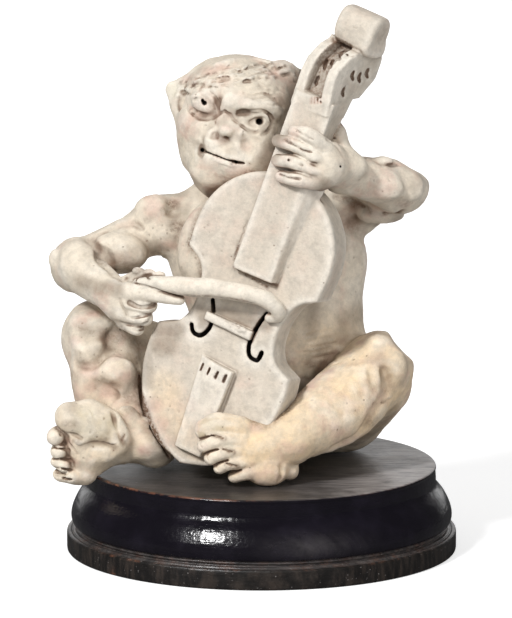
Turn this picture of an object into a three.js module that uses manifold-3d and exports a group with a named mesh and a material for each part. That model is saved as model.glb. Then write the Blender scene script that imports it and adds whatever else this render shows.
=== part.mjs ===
// A small fired-clay imp that sits and plays a cello, on a turned black wooden plinth.
// Millimetres, +Z up, the player faces -Y. The origin is the centre of the plinth's underside.

import * as THREE from 'three';
import { mergeVertices } from 'three/addons/utils/BufferGeometryUtils.js';
import Module from 'manifold-3d';

const wasm = await Module();
wasm.setup();

// Plinth: its section from the underside up.
const PLINTH_HEIGHT = 21.5;
const PLINTH_FOOT_RADIUS = 48.95;
const PLINTH_FOOT_HEIGHT = 5.2;
const PLINTH_GROOVE_RADIUS = 46.4;
const PLINTH_GROOVE_HEIGHT = 0.8;
const PLINTH_BULGE_RADIUS = 47.8;
const PLINTH_BULGE_CENTRE = 9.6;
const PLINTH_TOP_RADIUS = 43.8;
const PLINTH_NECK_HEIGHT = 17.2;
const PLINTH_EDGE_ROUND = 0.7;
const PLINTH_FOOT_BEVEL = 0.5;
const PLINTH_BULGE_STEPS = 7;
const PLINTH_SIDES = 48;
const REST_GAP = 0.3;

// Modelling grain of the clay, and how many flat faces its surface may keep.
const CELL = 0.95;
const CLAY_FACES = 7000;
const CLAY_LOW = [-60, -40, 16];
const CLAY_HIGH = [50, 38, 132];
const FAR_AWAY = 40;
const SHORTEST_EDGE = 0.06;

// Cello: a frame whose axes run across the front plate, up its length and out of its front.
const CELLO_TURN = THREE.MathUtils.degToRad(20.5);
const CELLO_LEAN = THREE.MathUtils.degToRad(7);
const CELLO_ROLL = THREE.MathUtils.degToRad(19.5);
const CELLO_ORIGIN = [-8.05, -21.5, 60.87];
const CELLO_MIDDLE = 0.9;
const CELLO_TOP = 39.4;
const CELLO_BOTTOM = -37;
const UPPER_HALF = 18.6;
const WAIST_HALF = 12;
const LOWER_HALF = 19.2;
const RIB_DEPTH = 9.5;
const NECK_WIDTH = 10.8;
const NECK_PROUD = 3;
const NECK_DEPTH = 10;
const NECK_FOOT = 14;
const NUT_HEIGHT = 60;
const HEAD_TWIST = THREE.MathUtils.degToRad(20);
const PEG_SLOT_WIDTH = 4;
const SCROLL_CENTRE = [-4.6, 81];
const SCROLL_RADII = [5.5, 5];
const SCROLL_WIDTH = 11;
const SCROLL_SQUARENESS = 0.75;
const BRIDGE_MIDDLE = 0.2;
const BRIDGE_LENGTH = 13;
const BRIDGE_HEIGHT = 1.6;
const TAILPIECE_MIDDLE = 1.2;
const TAILPIECE_WIDTH = 9.6;
const TAILPIECE_TOP = -9.5;
const TAILPIECE_END = -33;
const TAILPIECE_PROUD = 2.4;
const STRING_SLOTS = [-2.6, -0.2, 2.2, 4.6];
const STRING_SLOT_SIZE = [0.6, 2.4, 0.8];
const STRING_SLOT_FOOT = -13.4;
const F_HOLE_DEPTH = 3;
const F_HOLE_WIDTH = 1.3;
const NECK_SIDE_F_HOLE = [[8, 6.4], [7, 3], [6.5, -1.5], [7.6, -4.8], [10, -5.2], [10.4, -3]];
const BOW_SIDE_F_HOLE = [[-6.3, 4], [-5, 1], [-4.5, -2.4], [-5.8, -5.2], [-8, -5.4], [-9.2, -3.8]];
const SUNK = 1;

// Joints of the limbs. The bow side is the player's right, on -X, and the neck side is on +X.
const BOW_SHOULDER = [-25.2, 11, 80.4];
const BOW_ELBOW = [-46.6, 4, 71.6];
const BOW_WRIST = [-37, -11, 66.6];
const NECK_SHOULDER = [24, 14, 86];
const NECK_ELBOW = [34.8, -3, 92.6];
const NECK_WRIST = [19.5, -15, 98];
const BOW_HIP = [-9, 18, 35];
const BOW_KNEE = [-41, 6, 54];
const BOW_ANKLE = [-33.5, -5, 34];
const NECK_HIP = [14, 18, 35];
const NECK_KNEE = [29.4, -7, 47.8];
const NECK_CALF = [20.2, -13.5, 39.6];
const NECK_ANKLE = [8, -24.5, 33.6];
const HEAD_CENTRE = [-5.9, 2, 110.4];

const add = (a, b) => [a[0] + b[0], a[1] + b[1], a[2] + b[2]];
const minus = (a, b) => [a[0] - b[0], a[1] - b[1], a[2] - b[2]];
const times = (a, s) => [a[0] * s, a[1] * s, a[2] * s];
const dot = (a, b) => a[0] * b[0] + a[1] * b[1] + a[2] * b[2];
const cross = (a, b) => [
  a[1] * b[2] - a[2] * b[1],
  a[2] * b[0] - a[0] * b[2],
  a[0] * b[1] - a[1] * b[0],
];
const unit = (a) => times(a, 1 / Math.hypot(...a));
const between = (a, b, t) => add(times(a, 1 - t), times(b, t));
const clamp = (v, low, high) => Math.min(Math.max(v, low), high);

// A local frame: two directions are given, and the second is squared up against the first.
// The third is their cross product, or its opposite where the hand is -1.
function makeFrame(origin, first, second, hand = 1) {
  const x = unit(first);
  const y = unit(minus(second, times(x, dot(second, x))));
  const z = times(cross(x, y), hand);
  const at = (u, v, w) => add(origin, add(times(x, u), add(times(y, v), times(z, w))));
  return { origin, x, y, z, at };
}

const WORLD = makeFrame([0, 0, 0], [1, 0, 0], [0, 1, 0]);

function celloFrame() {
  const out = [
    -Math.sin(CELLO_TURN) * Math.cos(CELLO_LEAN),
    -Math.cos(CELLO_TURN) * Math.cos(CELLO_LEAN),
    Math.sin(CELLO_LEAN),
  ];
  const level = [Math.cos(CELLO_TURN), -Math.sin(CELLO_TURN), 0];
  const upright = cross(level, out).map((v) => -v);
  const up = add(times(level, Math.sin(CELLO_ROLL)), times(upright, Math.cos(CELLO_ROLL)));
  const across = minus(times(level, Math.cos(CELLO_ROLL)), times(upright, Math.sin(CELLO_ROLL)));
  return makeFrame(CELLO_ORIGIN, across, up);
}

const CELLO = celloFrame();

// A lump is a signed distance with the box that holds its surface.
function box(points, radius) {
  const low = [0, 1, 2].map((i) => Math.min(...points.map((p) => p[i])) - radius);
  const high = [0, 1, 2].map((i) => Math.max(...points.map((p) => p[i])) + radius);
  return { low, high };
}

// A limb tapers from one ball to another.
function limb(a, b, ra, rb = ra) {
  const d = minus(b, a);
  const span = dot(d, d);
  const distance = (x, y, z) => {
    const px = x - a[0];
    const py = y - a[1];
    const pz = z - a[2];
    const t = clamp((px * d[0] + py * d[1] + pz * d[2]) / span, 0, 1);
    return Math.hypot(px - d[0] * t, py - d[1] * t, pz - d[2] * t) - (ra + (rb - ra) * t);
  };
  return { distance, ...box([a, b], Math.max(ra, rb)) };
}

// An egg has a radius along each axis of its frame.
function egg(centre, radii, frame = WORLD) {
  const { x, y, z } = frame;
  const distance = (px, py, pz) => {
    const d = [px - centre[0], py - centre[1], pz - centre[2]];
    const u = dot(d, x);
    const v = dot(d, y);
    const w = dot(d, z);
    const near = Math.hypot(u / radii[0], v / radii[1], w / radii[2]);
    const slope = Math.hypot(u / radii[0] ** 2, v / radii[1] ** 2, w / radii[2] ** 2);
    return slope < 1e-9 ? -Math.min(...radii) : (near * (near - 1)) / slope;
  };
  return { distance, ...box([centre], Math.max(...radii)) };
}

// A chain runs limbs through several points, as a finger or a fold does.
function chain(points, radii) {
  const links = points.slice(1).map((p, i) => limb(points[i], p, radii[i], radii[i + 1]));
  const distance = (x, y, z) => {
    let best = Infinity;
    for (const link of links) {
      best = Math.min(best, link.distance(x, y, z));
    }
    return best;
  };
  return { distance, ...box(points, Math.max(...radii)) };
}

// The clay is a block of distances that lumps are blended into and tools are pressed into.
class Clay {
  constructor(low, high, cell) {
    this.low = low;
    this.cell = cell;
    this.size = [0, 1, 2].map((i) => Math.ceil((high[i] - low[i]) / cell) + 1);
    this.field = new Float32Array(this.size[0] * this.size[1] * this.size[2]).fill(FAR_AWAY);
  }

  each(lump, reach, change) {
    const { low, cell, size, field } = this;
    const from = [0, 1, 2].map((i) => Math.max(0, Math.floor((lump.low[i] - reach - low[i]) / cell)));
    const to = [0, 1, 2].map((i) =>
      Math.min(size[i] - 1, Math.ceil((lump.high[i] + reach - low[i]) / cell)),
    );
    for (let k = from[2]; k <= to[2]; k += 1) {
      for (let j = from[1]; j <= to[1]; j += 1) {
        let n = (k * size[1] + j) * size[0] + from[0];
        for (let i = from[0]; i <= to[0]; i += 1) {
          const d = lump.distance(low[0] + i * cell, low[1] + j * cell, low[2] + k * cell);
          field[n] = change(field[n], d);
          n += 1;
        }
      }
    }
  }

  blend(lump, soft = 1) {
    this.each(lump, soft + 2 * this.cell, (a, b) => {
      const h = Math.max(soft - Math.abs(a - b), 0) / soft;
      return Math.min(a, b) - (h * h * soft) / 4;
    });
  }

  press(tool, soft = 0.6) {
    this.each(tool, soft + 2 * this.cell, (a, b) => {
      const h = Math.max(soft - Math.abs(a + b), 0) / soft;
      return Math.max(a, -b) + (h * h * soft) / 4;
    });
  }
}

// The surface of the clay, cut through the six tetrahedra of each cell.
function skin(clay) {
  const { size, field, low, cell } = clay;
  const step = [1, size[0], size[0] * size[1]];
  const corner = (bits) => (bits & 1) * step[0] + ((bits >> 1) & 1) * step[1] + (bits >> 2) * step[2];
  const paths = [[1, 3], [3, 2], [2, 6], [6, 4], [4, 5], [5, 1]];
  const tets = paths.map(([a, b]) => [0, a, b, 7]);
  const cuts = new Map();
  const points = [];
  const faces = [];
  const place = (n) => {
    const i = n % size[0];
    const j = Math.floor(n / size[0]) % size[1];
    const k = Math.floor(n / step[2]);
    return [low[0] + i * cell, low[1] + j * cell, low[2] + k * cell];
  };
  const cut = (base, bitsA, bitsB) => {
    const small = bitsA < bitsB ? bitsA : bitsB;
    const large = bitsA < bitsB ? bitsB : bitsA;
    const a = base + corner(small);
    const key = a * 8 + (large - small);
    let found = cuts.get(key);
    if (found === undefined) {
      const b = base + corner(large);
      const t = clamp(field[a] / (field[a] - field[b]), 0.04, 0.96);
      found = points.length;
      points.push(between(place(a), place(b), t));
      cuts.set(key, found);
    }
    return found;
  };
  for (let k = 0; k < size[2] - 1; k += 1) {
    for (let j = 0; j < size[1] - 1; j += 1) {
      for (let i = 0; i < size[0] - 1; i += 1) {
        const base = i + j * step[1] + k * step[2];
        let count = 0;
        for (let bits = 0; bits < 8; bits += 1) {
          count += field[base + corner(bits)] < 0 ? 1 : 0;
        }
        if (count === 0 || count === 8) {
          continue;
        }
        for (const tet of tets) {
          const inner = tet.filter((bits) => field[base + corner(bits)] < 0);
          const outer = tet.filter((bits) => field[base + corner(bits)] >= 0);
          if (inner.length === 0 || outer.length === 0) {
            continue;
          }
          const ring = [];
          if (inner.length === 2) {
            ring.push([inner[0], outer[0]], [inner[0], outer[1]]);
            ring.push([inner[1], outer[1]], [inner[1], outer[0]]);
          } else {
            const lone = inner.length === 1 ? inner[0] : outer[0];
            const rest = inner.length === 1 ? outer : inner;
            rest.forEach((bits) => ring.push([lone, bits]));
          }
          const at = ring.map(([a, b]) => cut(base, a, b));
          const halfway = ([a, b]) => between(place(base + corner(a)), place(base + corner(b)), 0.5);
          const [p, q, r] = ring.map(halfway);
          const facing = cross(minus(q, p), minus(r, p));
          const outward = minus(place(base + corner(outer[0])), place(base + corner(inner[0])));
          if (dot(facing, outward) < 0) {
            at.reverse();
          }
          faces.push([at[0], at[1], at[2]]);
          if (at.length === 4) {
            faces.push([at[0], at[2], at[3]]);
          }
        }
      }
    }
  }
  return { points, faces };
}

// Only the largest closed piece of a surface is kept.
function largestPiece({ points, faces }) {
  const owner = points.map((_, i) => i);
  const find = (i) => {
    let n = i;
    while (owner[n] !== n) {
      owner[n] = owner[owner[n]];
      n = owner[n];
    }
    return n;
  };
  faces.forEach(([a, b, c]) => {
    owner[find(a)] = find(b);
    owner[find(b)] = find(c);
  });
  const tally = new Map();
  faces.forEach(([a]) => tally.set(find(a), (tally.get(find(a)) ?? 0) + 1));
  const main = [...tally.entries()].sort((a, b) => b[1] - a[1])[0][0];
  return compact(points, faces.filter(([a]) => find(a) === main));
}

function compact(points, faces) {
  const fresh = new Map();
  const kept = [];
  const renamed = faces.map((face) =>
    face.map((n) => {
      if (!fresh.has(n)) {
        fresh.set(n, kept.length);
        kept.push(points[n]);
      }
      return fresh.get(n);
    }),
  );
  return { points: kept, faces: renamed };
}

// A heap that gives back the cheapest entry first.
class Heap {
  constructor() {
    this.items = [];
  }

  push(item) {
    const { items } = this;
    items.push(item);
    let n = items.length - 1;
    while (n > 0) {
      const up = (n - 1) >> 1;
      if (items[up].cost <= items[n].cost) {
        break;
      }
      [items[up], items[n]] = [items[n], items[up]];
      n = up;
    }
  }

  pop() {
    const { items } = this;
    const top = items[0];
    const last = items.pop();
    if (items.length > 0) {
      items[0] = last;
      let n = 0;
      for (;;) {
        const left = 2 * n + 1;
        const right = left + 1;
        let least = n;
        if (left < items.length && items[left].cost < items[least].cost) {
          least = left;
        }
        if (right < items.length && items[right].cost < items[least].cost) {
          least = right;
        }
        if (least === n) {
          break;
        }
        [items[least], items[n]] = [items[n], items[least]];
        n = least;
      }
    }
    return top;
  }
}

// Edges are folded away, flattest first, until the wanted number of faces is left.
// With a shortest edge given, only the edges below it go.
function thin(mesh, wanted, shortest = Infinity) {
  const points = mesh.points.map((p) => [...p]);
  const faces = mesh.faces.map((f) => [...f]);
  const around = points.map(() => new Set());
  const quadrics = points.map(() => new Float64Array(10));
  const normalOf = ([a, b, c]) => cross(minus(points[b], points[a]), minus(points[c], points[a]));
  faces.forEach((face, n) => {
    const normal = normalOf(face);
    const area = Math.hypot(...normal);
    const [x, y, z] = area > 1e-12 ? times(normal, 1 / area) : [0, 0, 0];
    const w = -dot([x, y, z], points[face[0]]);
    const terms = [x * x, x * y, x * z, x * w, y * y, y * z, y * w, z * z, z * w, w * w];
    face.forEach((v) => {
      around[v].add(n);
      terms.forEach((term, i) => {
        quadrics[v][i] += (term * area) / 2;
      });
    });
  });
  const costAt = (q, [x, y, z]) =>
    q[0] * x * x + 2 * q[1] * x * y + 2 * q[2] * x * z + 2 * q[3] * x +
    q[4] * y * y + 2 * q[5] * y * z + 2 * q[6] * y + q[7] * z * z + 2 * q[8] * z + q[9];
  const age = new Int32Array(points.length);
  const heap = new Heap();
  const offer = (a, b) => {
    const length = Math.hypot(...minus(points[a], points[b]));
    if (length > shortest) {
      return;
    }
    const q = quadrics[a].map((v, i) => v + quadrics[b][i]);
    const middle = between(points[a], points[b], 0.5);
    const choices = [points[a], points[b], middle];
    const det =
      q[0] * (q[4] * q[7] - q[5] * q[5]) - q[1] * (q[1] * q[7] - q[5] * q[2]) +
      q[2] * (q[1] * q[5] - q[4] * q[2]);
    if (Math.abs(det) > 1e-7) {
      const best = [
        -(q[3] * (q[4] * q[7] - q[5] * q[5]) - q[1] * (q[6] * q[7] - q[5] * q[8]) +
          q[2] * (q[6] * q[5] - q[4] * q[8])) / det,
        -(q[0] * (q[6] * q[7] - q[5] * q[8]) - q[3] * (q[1] * q[7] - q[5] * q[2]) +
          q[2] * (q[1] * q[8] - q[6] * q[2])) / det,
        -(q[0] * (q[4] * q[8] - q[6] * q[5]) - q[1] * (q[1] * q[8] - q[6] * q[2]) +
          q[3] * (q[1] * q[5] - q[4] * q[2])) / det,
      ];
      if (Math.hypot(...minus(best, middle)) < 1.5 * length) {
        choices.push(best);
      }
    }
    let target = middle;
    let cost = Infinity;
    choices.forEach((choice) => {
      const c = costAt(q, choice);
      if (c < cost) {
        cost = c;
        target = choice;
      }
    });
    const extra = 1e-4 * length * length;
    heap.push({ cost: Math.max(cost, 0) + extra, a, b, target, ages: age[a] + age[b] });
  };
  const neighbours = (v) => {
    const ring = new Set();
    around[v].forEach((n) => faces[n].forEach((u) => ring.add(u)));
    ring.delete(v);
    return ring;
  };
  points.forEach((_, v) => {
    neighbours(v).forEach((u) => {
      if (u > v) {
        offer(v, u);
      }
    });
  });
  let left = faces.length;
  const gone = new Uint8Array(points.length);
  while (left > wanted && heap.items.length > 0) {
    const { a, b, target, ages } = heap.pop();
    if (gone[a] || gone[b] || ages !== age[a] + age[b]) {
      continue;
    }
    const shared = [...neighbours(a)].filter((v) => around[b].size && neighbours(b).has(v));
    if (shared.length !== 2) {
      continue;
    }
    const turns = (v, other) =>
      [...around[v]].some((n) => {
        if (faces[n].includes(other)) {
          return false;
        }
        const before = normalOf(faces[n]);
        const moved = faces[n].map((u) => (u === v ? target : points[u]));
        const after = cross(minus(moved[1], moved[0]), minus(moved[2], moved[0]));
        const sizes = Math.hypot(...before) * Math.hypot(...after);
        const tiny = Math.hypot(...before) < 1e-6;
        return !tiny && dot(before, after) < 0.25 * sizes;
      });
    if (turns(a, b) || turns(b, a)) {
      continue;
    }
    gone[b] = 1;
    points[a] = target;
    quadrics[a] = quadrics[a].map((v, i) => v + quadrics[b][i]);
    [...around[b]].forEach((n) => {
      if (faces[n].includes(a)) {
        faces[n].forEach((v) => around[v].delete(n));
        faces[n] = null;
        left -= 1;
      } else {
        faces[n] = faces[n].map((v) => (v === b ? a : v));
        around[a].add(n);
      }
    });
    age[a] += 1;
    const ring = neighbours(a);
    ring.forEach((v) => offer(a, v));
  }
  return compact(points, faces.filter((face) => face !== null));
}

function solidOf({ points, faces }) {
  const mesh = new wasm.Mesh({
    numProp: 3,
    vertProperties: new Float32Array(points.flat()),
    triVerts: new Uint32Array(faces.flat()),
  });
  return new wasm.Manifold(mesh);
}

function solidOfGeometry(geometry, frame = WORLD) {
  const plain = geometry.clone();
  plain.deleteAttribute('normal');
  plain.deleteAttribute('uv');
  const welded = mergeVertices(plain, 1e-4);
  const at = welded.getAttribute('position');
  const points = [];
  for (let n = 0; n < at.count; n += 1) {
    points.push(frame.at(at.getX(n), at.getY(n), at.getZ(n)));
  }
  const faces = [];
  for (let n = 0; n < welded.index.count; n += 3) {
    faces.push([welded.index.getX(n), welded.index.getX(n + 1), welded.index.getX(n + 2)]);
  }
  return solidOf({ points, faces });
}

function meshOf(solid) {
  const { vertProperties, triVerts, numProp } = solid.getMesh();
  const points = [];
  for (let n = 0; n < vertProperties.length; n += numProp) {
    points.push([vertProperties[n], vertProperties[n + 1], vertProperties[n + 2]]);
  }
  const faces = [];
  for (let n = 0; n < triVerts.length; n += 3) {
    faces.push([triVerts[n], triVerts[n + 1], triVerts[n + 2]]);
  }
  return { points, faces };
}

function geometryOf({ points, faces }) {
  const geometry = new THREE.BufferGeometry();
  geometry.setAttribute('position', new THREE.Float32BufferAttribute(points.flat(), 3));
  geometry.setIndex(faces.flat());
  geometry.computeVertexNormals();
  return geometry;
}

// Body

function torso(clay) {
  clay.blend(egg([1.8, 9, 71.5], [24.8, 14.5, 17.5]), 1);
  clay.blend(egg([4.4, 7.5, 54], [21.4, 16, 17]), 8);
  clay.blend(egg([-8, 17, 35], [15, 14, 13.3]), 7);
  clay.blend(egg([14, 17, 35], [15, 14, 13.3]), 7);
  clay.blend(limb([-20, 11, 80], [19, 12, 85], 7), 5);
  clay.blend(limb([-5, 9, 84], add(HEAD_CENTRE, [1, 4, -10]), 8.5, 8.5), 4);
  clay.blend(limb([-21, 11, 83], [-13, 10, 89], 3.4, 3.8), 4);
  clay.blend(limb([24, 12, 87], [3, 10, 93], 4, 4), 4);
  [-1, 1].forEach((side) => {
    clay.blend(egg([2 + side * 11, 18.5, 77], [8, 5, 9]), 5);
  });
  clay.press(limb([1, 28, 86], [4, 28.5, 44], 3), 4);
}

// The instrument leans on clay at the chest and the belly, out of sight behind its plate.
function rests(clay) {
  clay.blend(egg([-9, -3, 76], [11, 9, 13]), 4);
  clay.blend(egg([-6, -4, 57], [10, 9, 12]), 4);
}

function bowArm(clay) {
  clay.blend(egg(BOW_SHOULDER, [7.6, 7.6, 7.2]), 3);
  clay.blend(limb(BOW_SHOULDER, BOW_ELBOW, 6, 5.2), 3);
  clay.blend(egg([-35.5, 5, 74], [7, 6, 5]), 2);
  clay.blend(egg(BOW_ELBOW, [5.6, 5.6, 6.4]), 2);
  clay.blend(limb([-46, 1, 71.4], BOW_WRIST, 6.2, 4.4), 3);
  clay.press(chain([[-37, -2, 79.5], [-33, -1.5, 80.6], [-29.5, 0, 80]], [0.7, 0.9, 0.7]), 1.5);
}

// The fist holds the bow with the forefinger laid along it and the others curled below.
function bowHand(clay) {
  clay.blend(egg([-33.8, -13.2, 65], [5, 3.6, 5.8]), 3);
  clay.blend(chain([[-34, -15, 68], [-27, -18.4, 68.1], [-20.2, -20.4, 67]], [2.5, 2.1, 1.3]), 1);
  const fingers = [
    { root: [-34, -15, 65.2], bend: [-28.4, -17.2, 64.8], tip: [-27.6, -13, 64.4], radius: 2 },
    { root: [-34.6, -14.6, 62.4], bend: [-29.2, -16.6, 61.6], tip: [-28.6, -12.6, 61.2], radius: 1.9 },
    { root: [-34.4, -13.6, 60], bend: [-31, -14.8, 58.6], tip: [-30.6, -12, 58.4], radius: 1.7 },
  ];
  fingers.forEach(({ root, bend, tip, radius }) => {
    clay.blend(chain([root, bend, tip], [radius, radius, radius * 0.9]), 0.7);
  });
  clay.blend(chain([[-34.5, -11, 68.6], [-30, -13, 71.6], [-25.5, -15, 71.4]], [2.2, 1.6, 1.1]), 1);
}

function neckArm(clay) {
  clay.blend(egg(NECK_SHOULDER, [7.5, 8, 8]), 4);
  clay.blend(limb(NECK_SHOULDER, NECK_ELBOW, 6.6, 6), 3);
  clay.blend(egg([30.5, 7, 91.5], [5.5, 6.5, 6.2]), 2);
  clay.blend(egg(NECK_ELBOW, [6.5, 6.2, 6.2]), 2);
  clay.blend(limb([33.5, -5, 93], NECK_WRIST, 6.3, 4.6), 3);
}

// Four fingers wrap over the front of the cello's neck and the thumb comes up behind it.
function neckHand(clay) {
  clay.blend(limb(NECK_WRIST, CELLO.at(9, 46, -2), 4.6, 4.6), 3);
  clay.blend(egg(CELLO.at(8.6, 46, -0.5), [3.4, 6.4, 4.4], CELLO), 2);
  const fingers = [
    { knuckle: [7.4, 50.6], bend: [3.4, 52.2], tip: [-0.8, 51.4], radius: 1.9 },
    { knuckle: [7.6, 47.4], bend: [2, 48.6], tip: [-3.7, 47.6], radius: 2 },
    { knuckle: [7.8, 44.3], bend: [2.6, 44.6], tip: [-2.2, 43.2], radius: 1.9 },
    { knuckle: [8, 41.6], bend: [4.4, 40.8], tip: [0.2, 39.9], radius: 1.8 },
  ];
  fingers.forEach(({ knuckle, bend, tip, radius }) => {
    const points = [
      CELLO.at(knuckle[0], knuckle[1], 1.8),
      CELLO.at(bend[0], bend[1], NECK_PROUD + 1.9),
      CELLO.at(tip[0], tip[1], NECK_PROUD + 1.1),
    ];
    clay.blend(chain(points, [radius * 1.1, radius, radius * 0.85]), 0.7);
  });
  clay.blend(chain([CELLO.at(9, 47, -6), CELLO.at(6.8, 53, -6.5), CELLO.at(4, 55, -7.5)], [3, 2.2, 1.8]), 1);
}

function bowLeg(clay) {
  clay.blend(limb(BOW_HIP, BOW_KNEE, 12, 7.4), 5);
  clay.blend(egg([-41.4, 4, 53.2], [7.8, 8, 7.6]), 3);
  clay.blend(limb(BOW_KNEE, BOW_ANKLE, 7.4, 6), 3);
  clay.blend(egg([-38, -0.5, 44], [7.4, 7, 9.5]), 3);
  clay.blend(limb([-40, 6, 50], [-24, 16, 33], 9, 9), 4);
}

function neckLeg(clay) {
  clay.blend(limb(NECK_HIP, NECK_KNEE, 12.4, 7.4), 5);
  clay.blend(egg(NECK_KNEE, [7.2, 8, 7.8]), 3);
  clay.blend(chain([NECK_KNEE, NECK_CALF, NECK_ANKLE], [7.4, 9.6, 6.4]), 3);
  clay.blend(limb([28.5, -1, 42], [22, 14, 31], 9, 9), 4);
}

// A foot in its own frame: toes along x, the back of the foot along y, the big toe's side along z.
function foot(clay, frame, { size, stretch, bigReach, smallReach }) {
  const at = (t, d, m) => frame.at(t * size * stretch, d * size, m * size);
  const ball = (t, d, m, radii, soft) =>
    clay.blend(egg(at(t, d, m), radii.map((r) => r * size), frame), soft);
  ball(-3.5, -4.4, -1, [6, 5, 6.2], 2);
  ball(4.5, -2.6, 0, [9, 5.4, 6.4], 3);
  ball(11.5, -4.2, 0.2, [6.2, 3.9, 9], 3);
  ball(12.5, -4.4, 5.4, [4.6, 3.8, 4.4], 2);
  clay.blend(chain([at(13, -4, 6.4), at(bigReach, -4.4, 6.6)], [3.6 * size, 3.5 * size]), 1);
  const toes = [
    { m: 1.9, shorter: 0, radius: 2.25 },
    { m: -1.8, shorter: 0.8, radius: 2.15 },
    { m: -5.1, shorter: 2, radius: 2.05 },
    { m: -7.9, shorter: 3.8, radius: 1.95 },
  ];
  toes.forEach(({ m, shorter, radius }) => {
    const reach = smallReach - shorter;
    const points = [at(12.5, -3.4, m), at(reach - 1.6, -2.8, m), at(reach, -4.6, m)];
    clay.blend(chain(points, [radius * size, radius * size, radius * 0.9 * size]), 0.6);
  });
}

function feet(clay) {
  const bowFoot = makeFrame([-31.4, -8.5, 30.6], [-1, -0.3, 0], [0.1, 1, 0.05], -1);
  foot(clay, bowFoot, { size: 1.04, stretch: 1.06, bigReach: 16.8, smallReach: 20 });
  const neckFoot = makeFrame([5, -27, 31], [-0.98, -0.12, 0.06], [-0.1, -0.93, 0.34]);
  foot(clay, neckFoot, { size: 1.05, stretch: 1, bigReach: 18.5, smallReach: 19 });
}

// Head

// The head's frame runs to the neck side, forward out of the face and up to the crown.
const FACING = [-0.17, -0.98, -0.02];
const CROWN_WAY = [0.29, 0, 0.957];
const HEAD = makeFrame(HEAD_CENTRE, cross(CROWN_WAY, FACING), FACING, -1);

function skull(clay) {
  const lump = (r, f, u, radii, soft) => clay.blend(egg(HEAD.at(r, f, u), radii, HEAD), soft);
  lump(0, -1.5, 1.2, [14.6, 14.6, 13.6], 4);
  lump(-0.5, 5.5, 2.2, [12.6, 9, 10.5], 4);
  lump(-1, 4.5, -8, [12, 9.5, 8.8], 4);
  lump(-0.6, 7.5, -13.5, [7.4, 6, 6], 3);
  lump(-0.6, 10, -16.6, [4, 3.6, 4], 2);
}

function features(clay) {
  const at = (r, f, u) => HEAD.at(r, f, u);
  [-1, 1].forEach((side) => {
    clay.blend(egg(at(side * 8.2 - 0.5, 9, -5.6), [4.4, 4.6, 4.2], HEAD), 2.5);
  });
  clay.blend(chain([at(-10.6, 10.4, 4.4), at(-7, 13, 6), at(-2.6, 13.8, 3.6)], [1.2, 1.5, 1.4]), 2);
  clay.blend(chain([at(2, 14, 3.4), at(5.6, 13.4, 4.6), at(9.8, 10.6, 2.4)], [1.5, 1.7, 1.3]), 2);
  clay.press(egg(at(-7.4, 14.4, 1.7), [3.4, 2.6, 2], HEAD), 1.5);
  clay.press(egg(at(6.7, 14.4, 1.2), [3.6, 2.6, 2], HEAD), 1.5);
  clay.blend(egg(at(-7.4, 10.6, 1.9), [3.2, 2.4, 2.3], HEAD), 0.8);
  clay.blend(egg(at(6.8, 10.5, 1.4), [3.3, 2.4, 2.3], HEAD), 0.8);
  clay.press(limb(at(-7.5, 14, 2.4), at(-7.3, 11.6, 2.3), 0.75), 0.4);
  clay.press(limb(at(7.2, 14, 1.7), at(7, 11.4, 1.7), 0.85), 0.4);
  clay.blend(chain([at(-0.6, 13.6, 2.6), at(0.2, 16, -0.2), at(0.9, 17.4, -1.8)], [1.6, 2, 2.3]), 1.5);
  clay.blend(egg(at(-2.2, 14.6, -3.2), [1.8, 2.2, 1.6], HEAD), 1);
  clay.blend(egg(at(3.6, 14.6, -2.7), [1.8, 2.2, 1.6], HEAD), 1);
  clay.press(limb(at(2.2, 17, -4.6), at(2.8, 14.5, -3.4), 0.6), 0.4);
  clay.press(limb(at(-1, 17, -4.8), at(-1.4, 14.5, -3.6), 0.5), 0.4);
  clay.blend(chain([at(-4, 12.8, -7.6), at(1.6, 14.2, -7.2), at(7, 12.4, -7.2)], [1.2, 1.5, 1.2]), 1.5);
  clay.blend(chain([at(-3.4, 12.4, -10.6), at(1.8, 13.6, -10.6), at(6.6, 12, -10)], [1.1, 1.4, 1.1]), 1.5);
  clay.press(chain([at(-5, 14.2, -8.6), at(1.6, 16, -9.1), at(7.6, 14, -8.5)], [1, 1.1, 0.9]), 0.4);
}

// The pointed ear on the bow side, and the lock of hair that stands up on the other side.
function earAndLock(clay) {
  const at = (r, f, u) => HEAD.at(r, f, u);
  clay.blend(egg(at(-14.2, 1, -3.6), [3.2, 2.8, 6.4], HEAD), 1.5);
  clay.blend(limb(at(-14.5, 0, -0.5), at(-17.6, -1, 0), 2.8, 1.9), 1.5);
  clay.press(egg(at(-16.2, 3.4, -1.6), [1.4, 1.6, 3], HEAD), 1);
  clay.blend(chain([at(5, 5, 12.6), at(8.6, 4, 11.6), at(11.4, 3, 9.4)], [1.2, 1.7, 1.2]), 1.5);
}

// Cello

// Half of the outline of the front plate, from the top middle to the bottom middle.
function celloOutline() {
  const upper = [[0, CELLO_TOP], [7, 38.4], [12.6, 35], [17, 29], [UPPER_HALF, 22], [18.3, 14.2]];
  const waist = [
    [18.3, 14.2], [14, 11.4], [WAIST_HALF, 7], [WAIST_HALF - 0.4, 1], [13.6, -4], [18.6, -6.6],
  ];
  const lower = [[18.6, -6.6], [LOWER_HALF, -12], [18, -19.5], [14, -28], [8, -34], [0, CELLO_BOTTOM]];
  const half = [upper, waist, lower].flatMap((points) => {
    const curve = new THREE.SplineCurve(points.map(([u, v]) => new THREE.Vector2(u, v)));
    return curve.getPoints(9).slice(0, -1);
  });
  const right = half.map((p) => new THREE.Vector2(CELLO_MIDDLE + p.x, p.y));
  const left = half.slice(1).map((p) => new THREE.Vector2(CELLO_MIDDLE - p.x, p.y)).reverse();
  const foot = new THREE.Vector2(CELLO_MIDDLE, CELLO_BOTTOM);
  return new THREE.Shape([...right, foot, ...left]);
}

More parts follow.
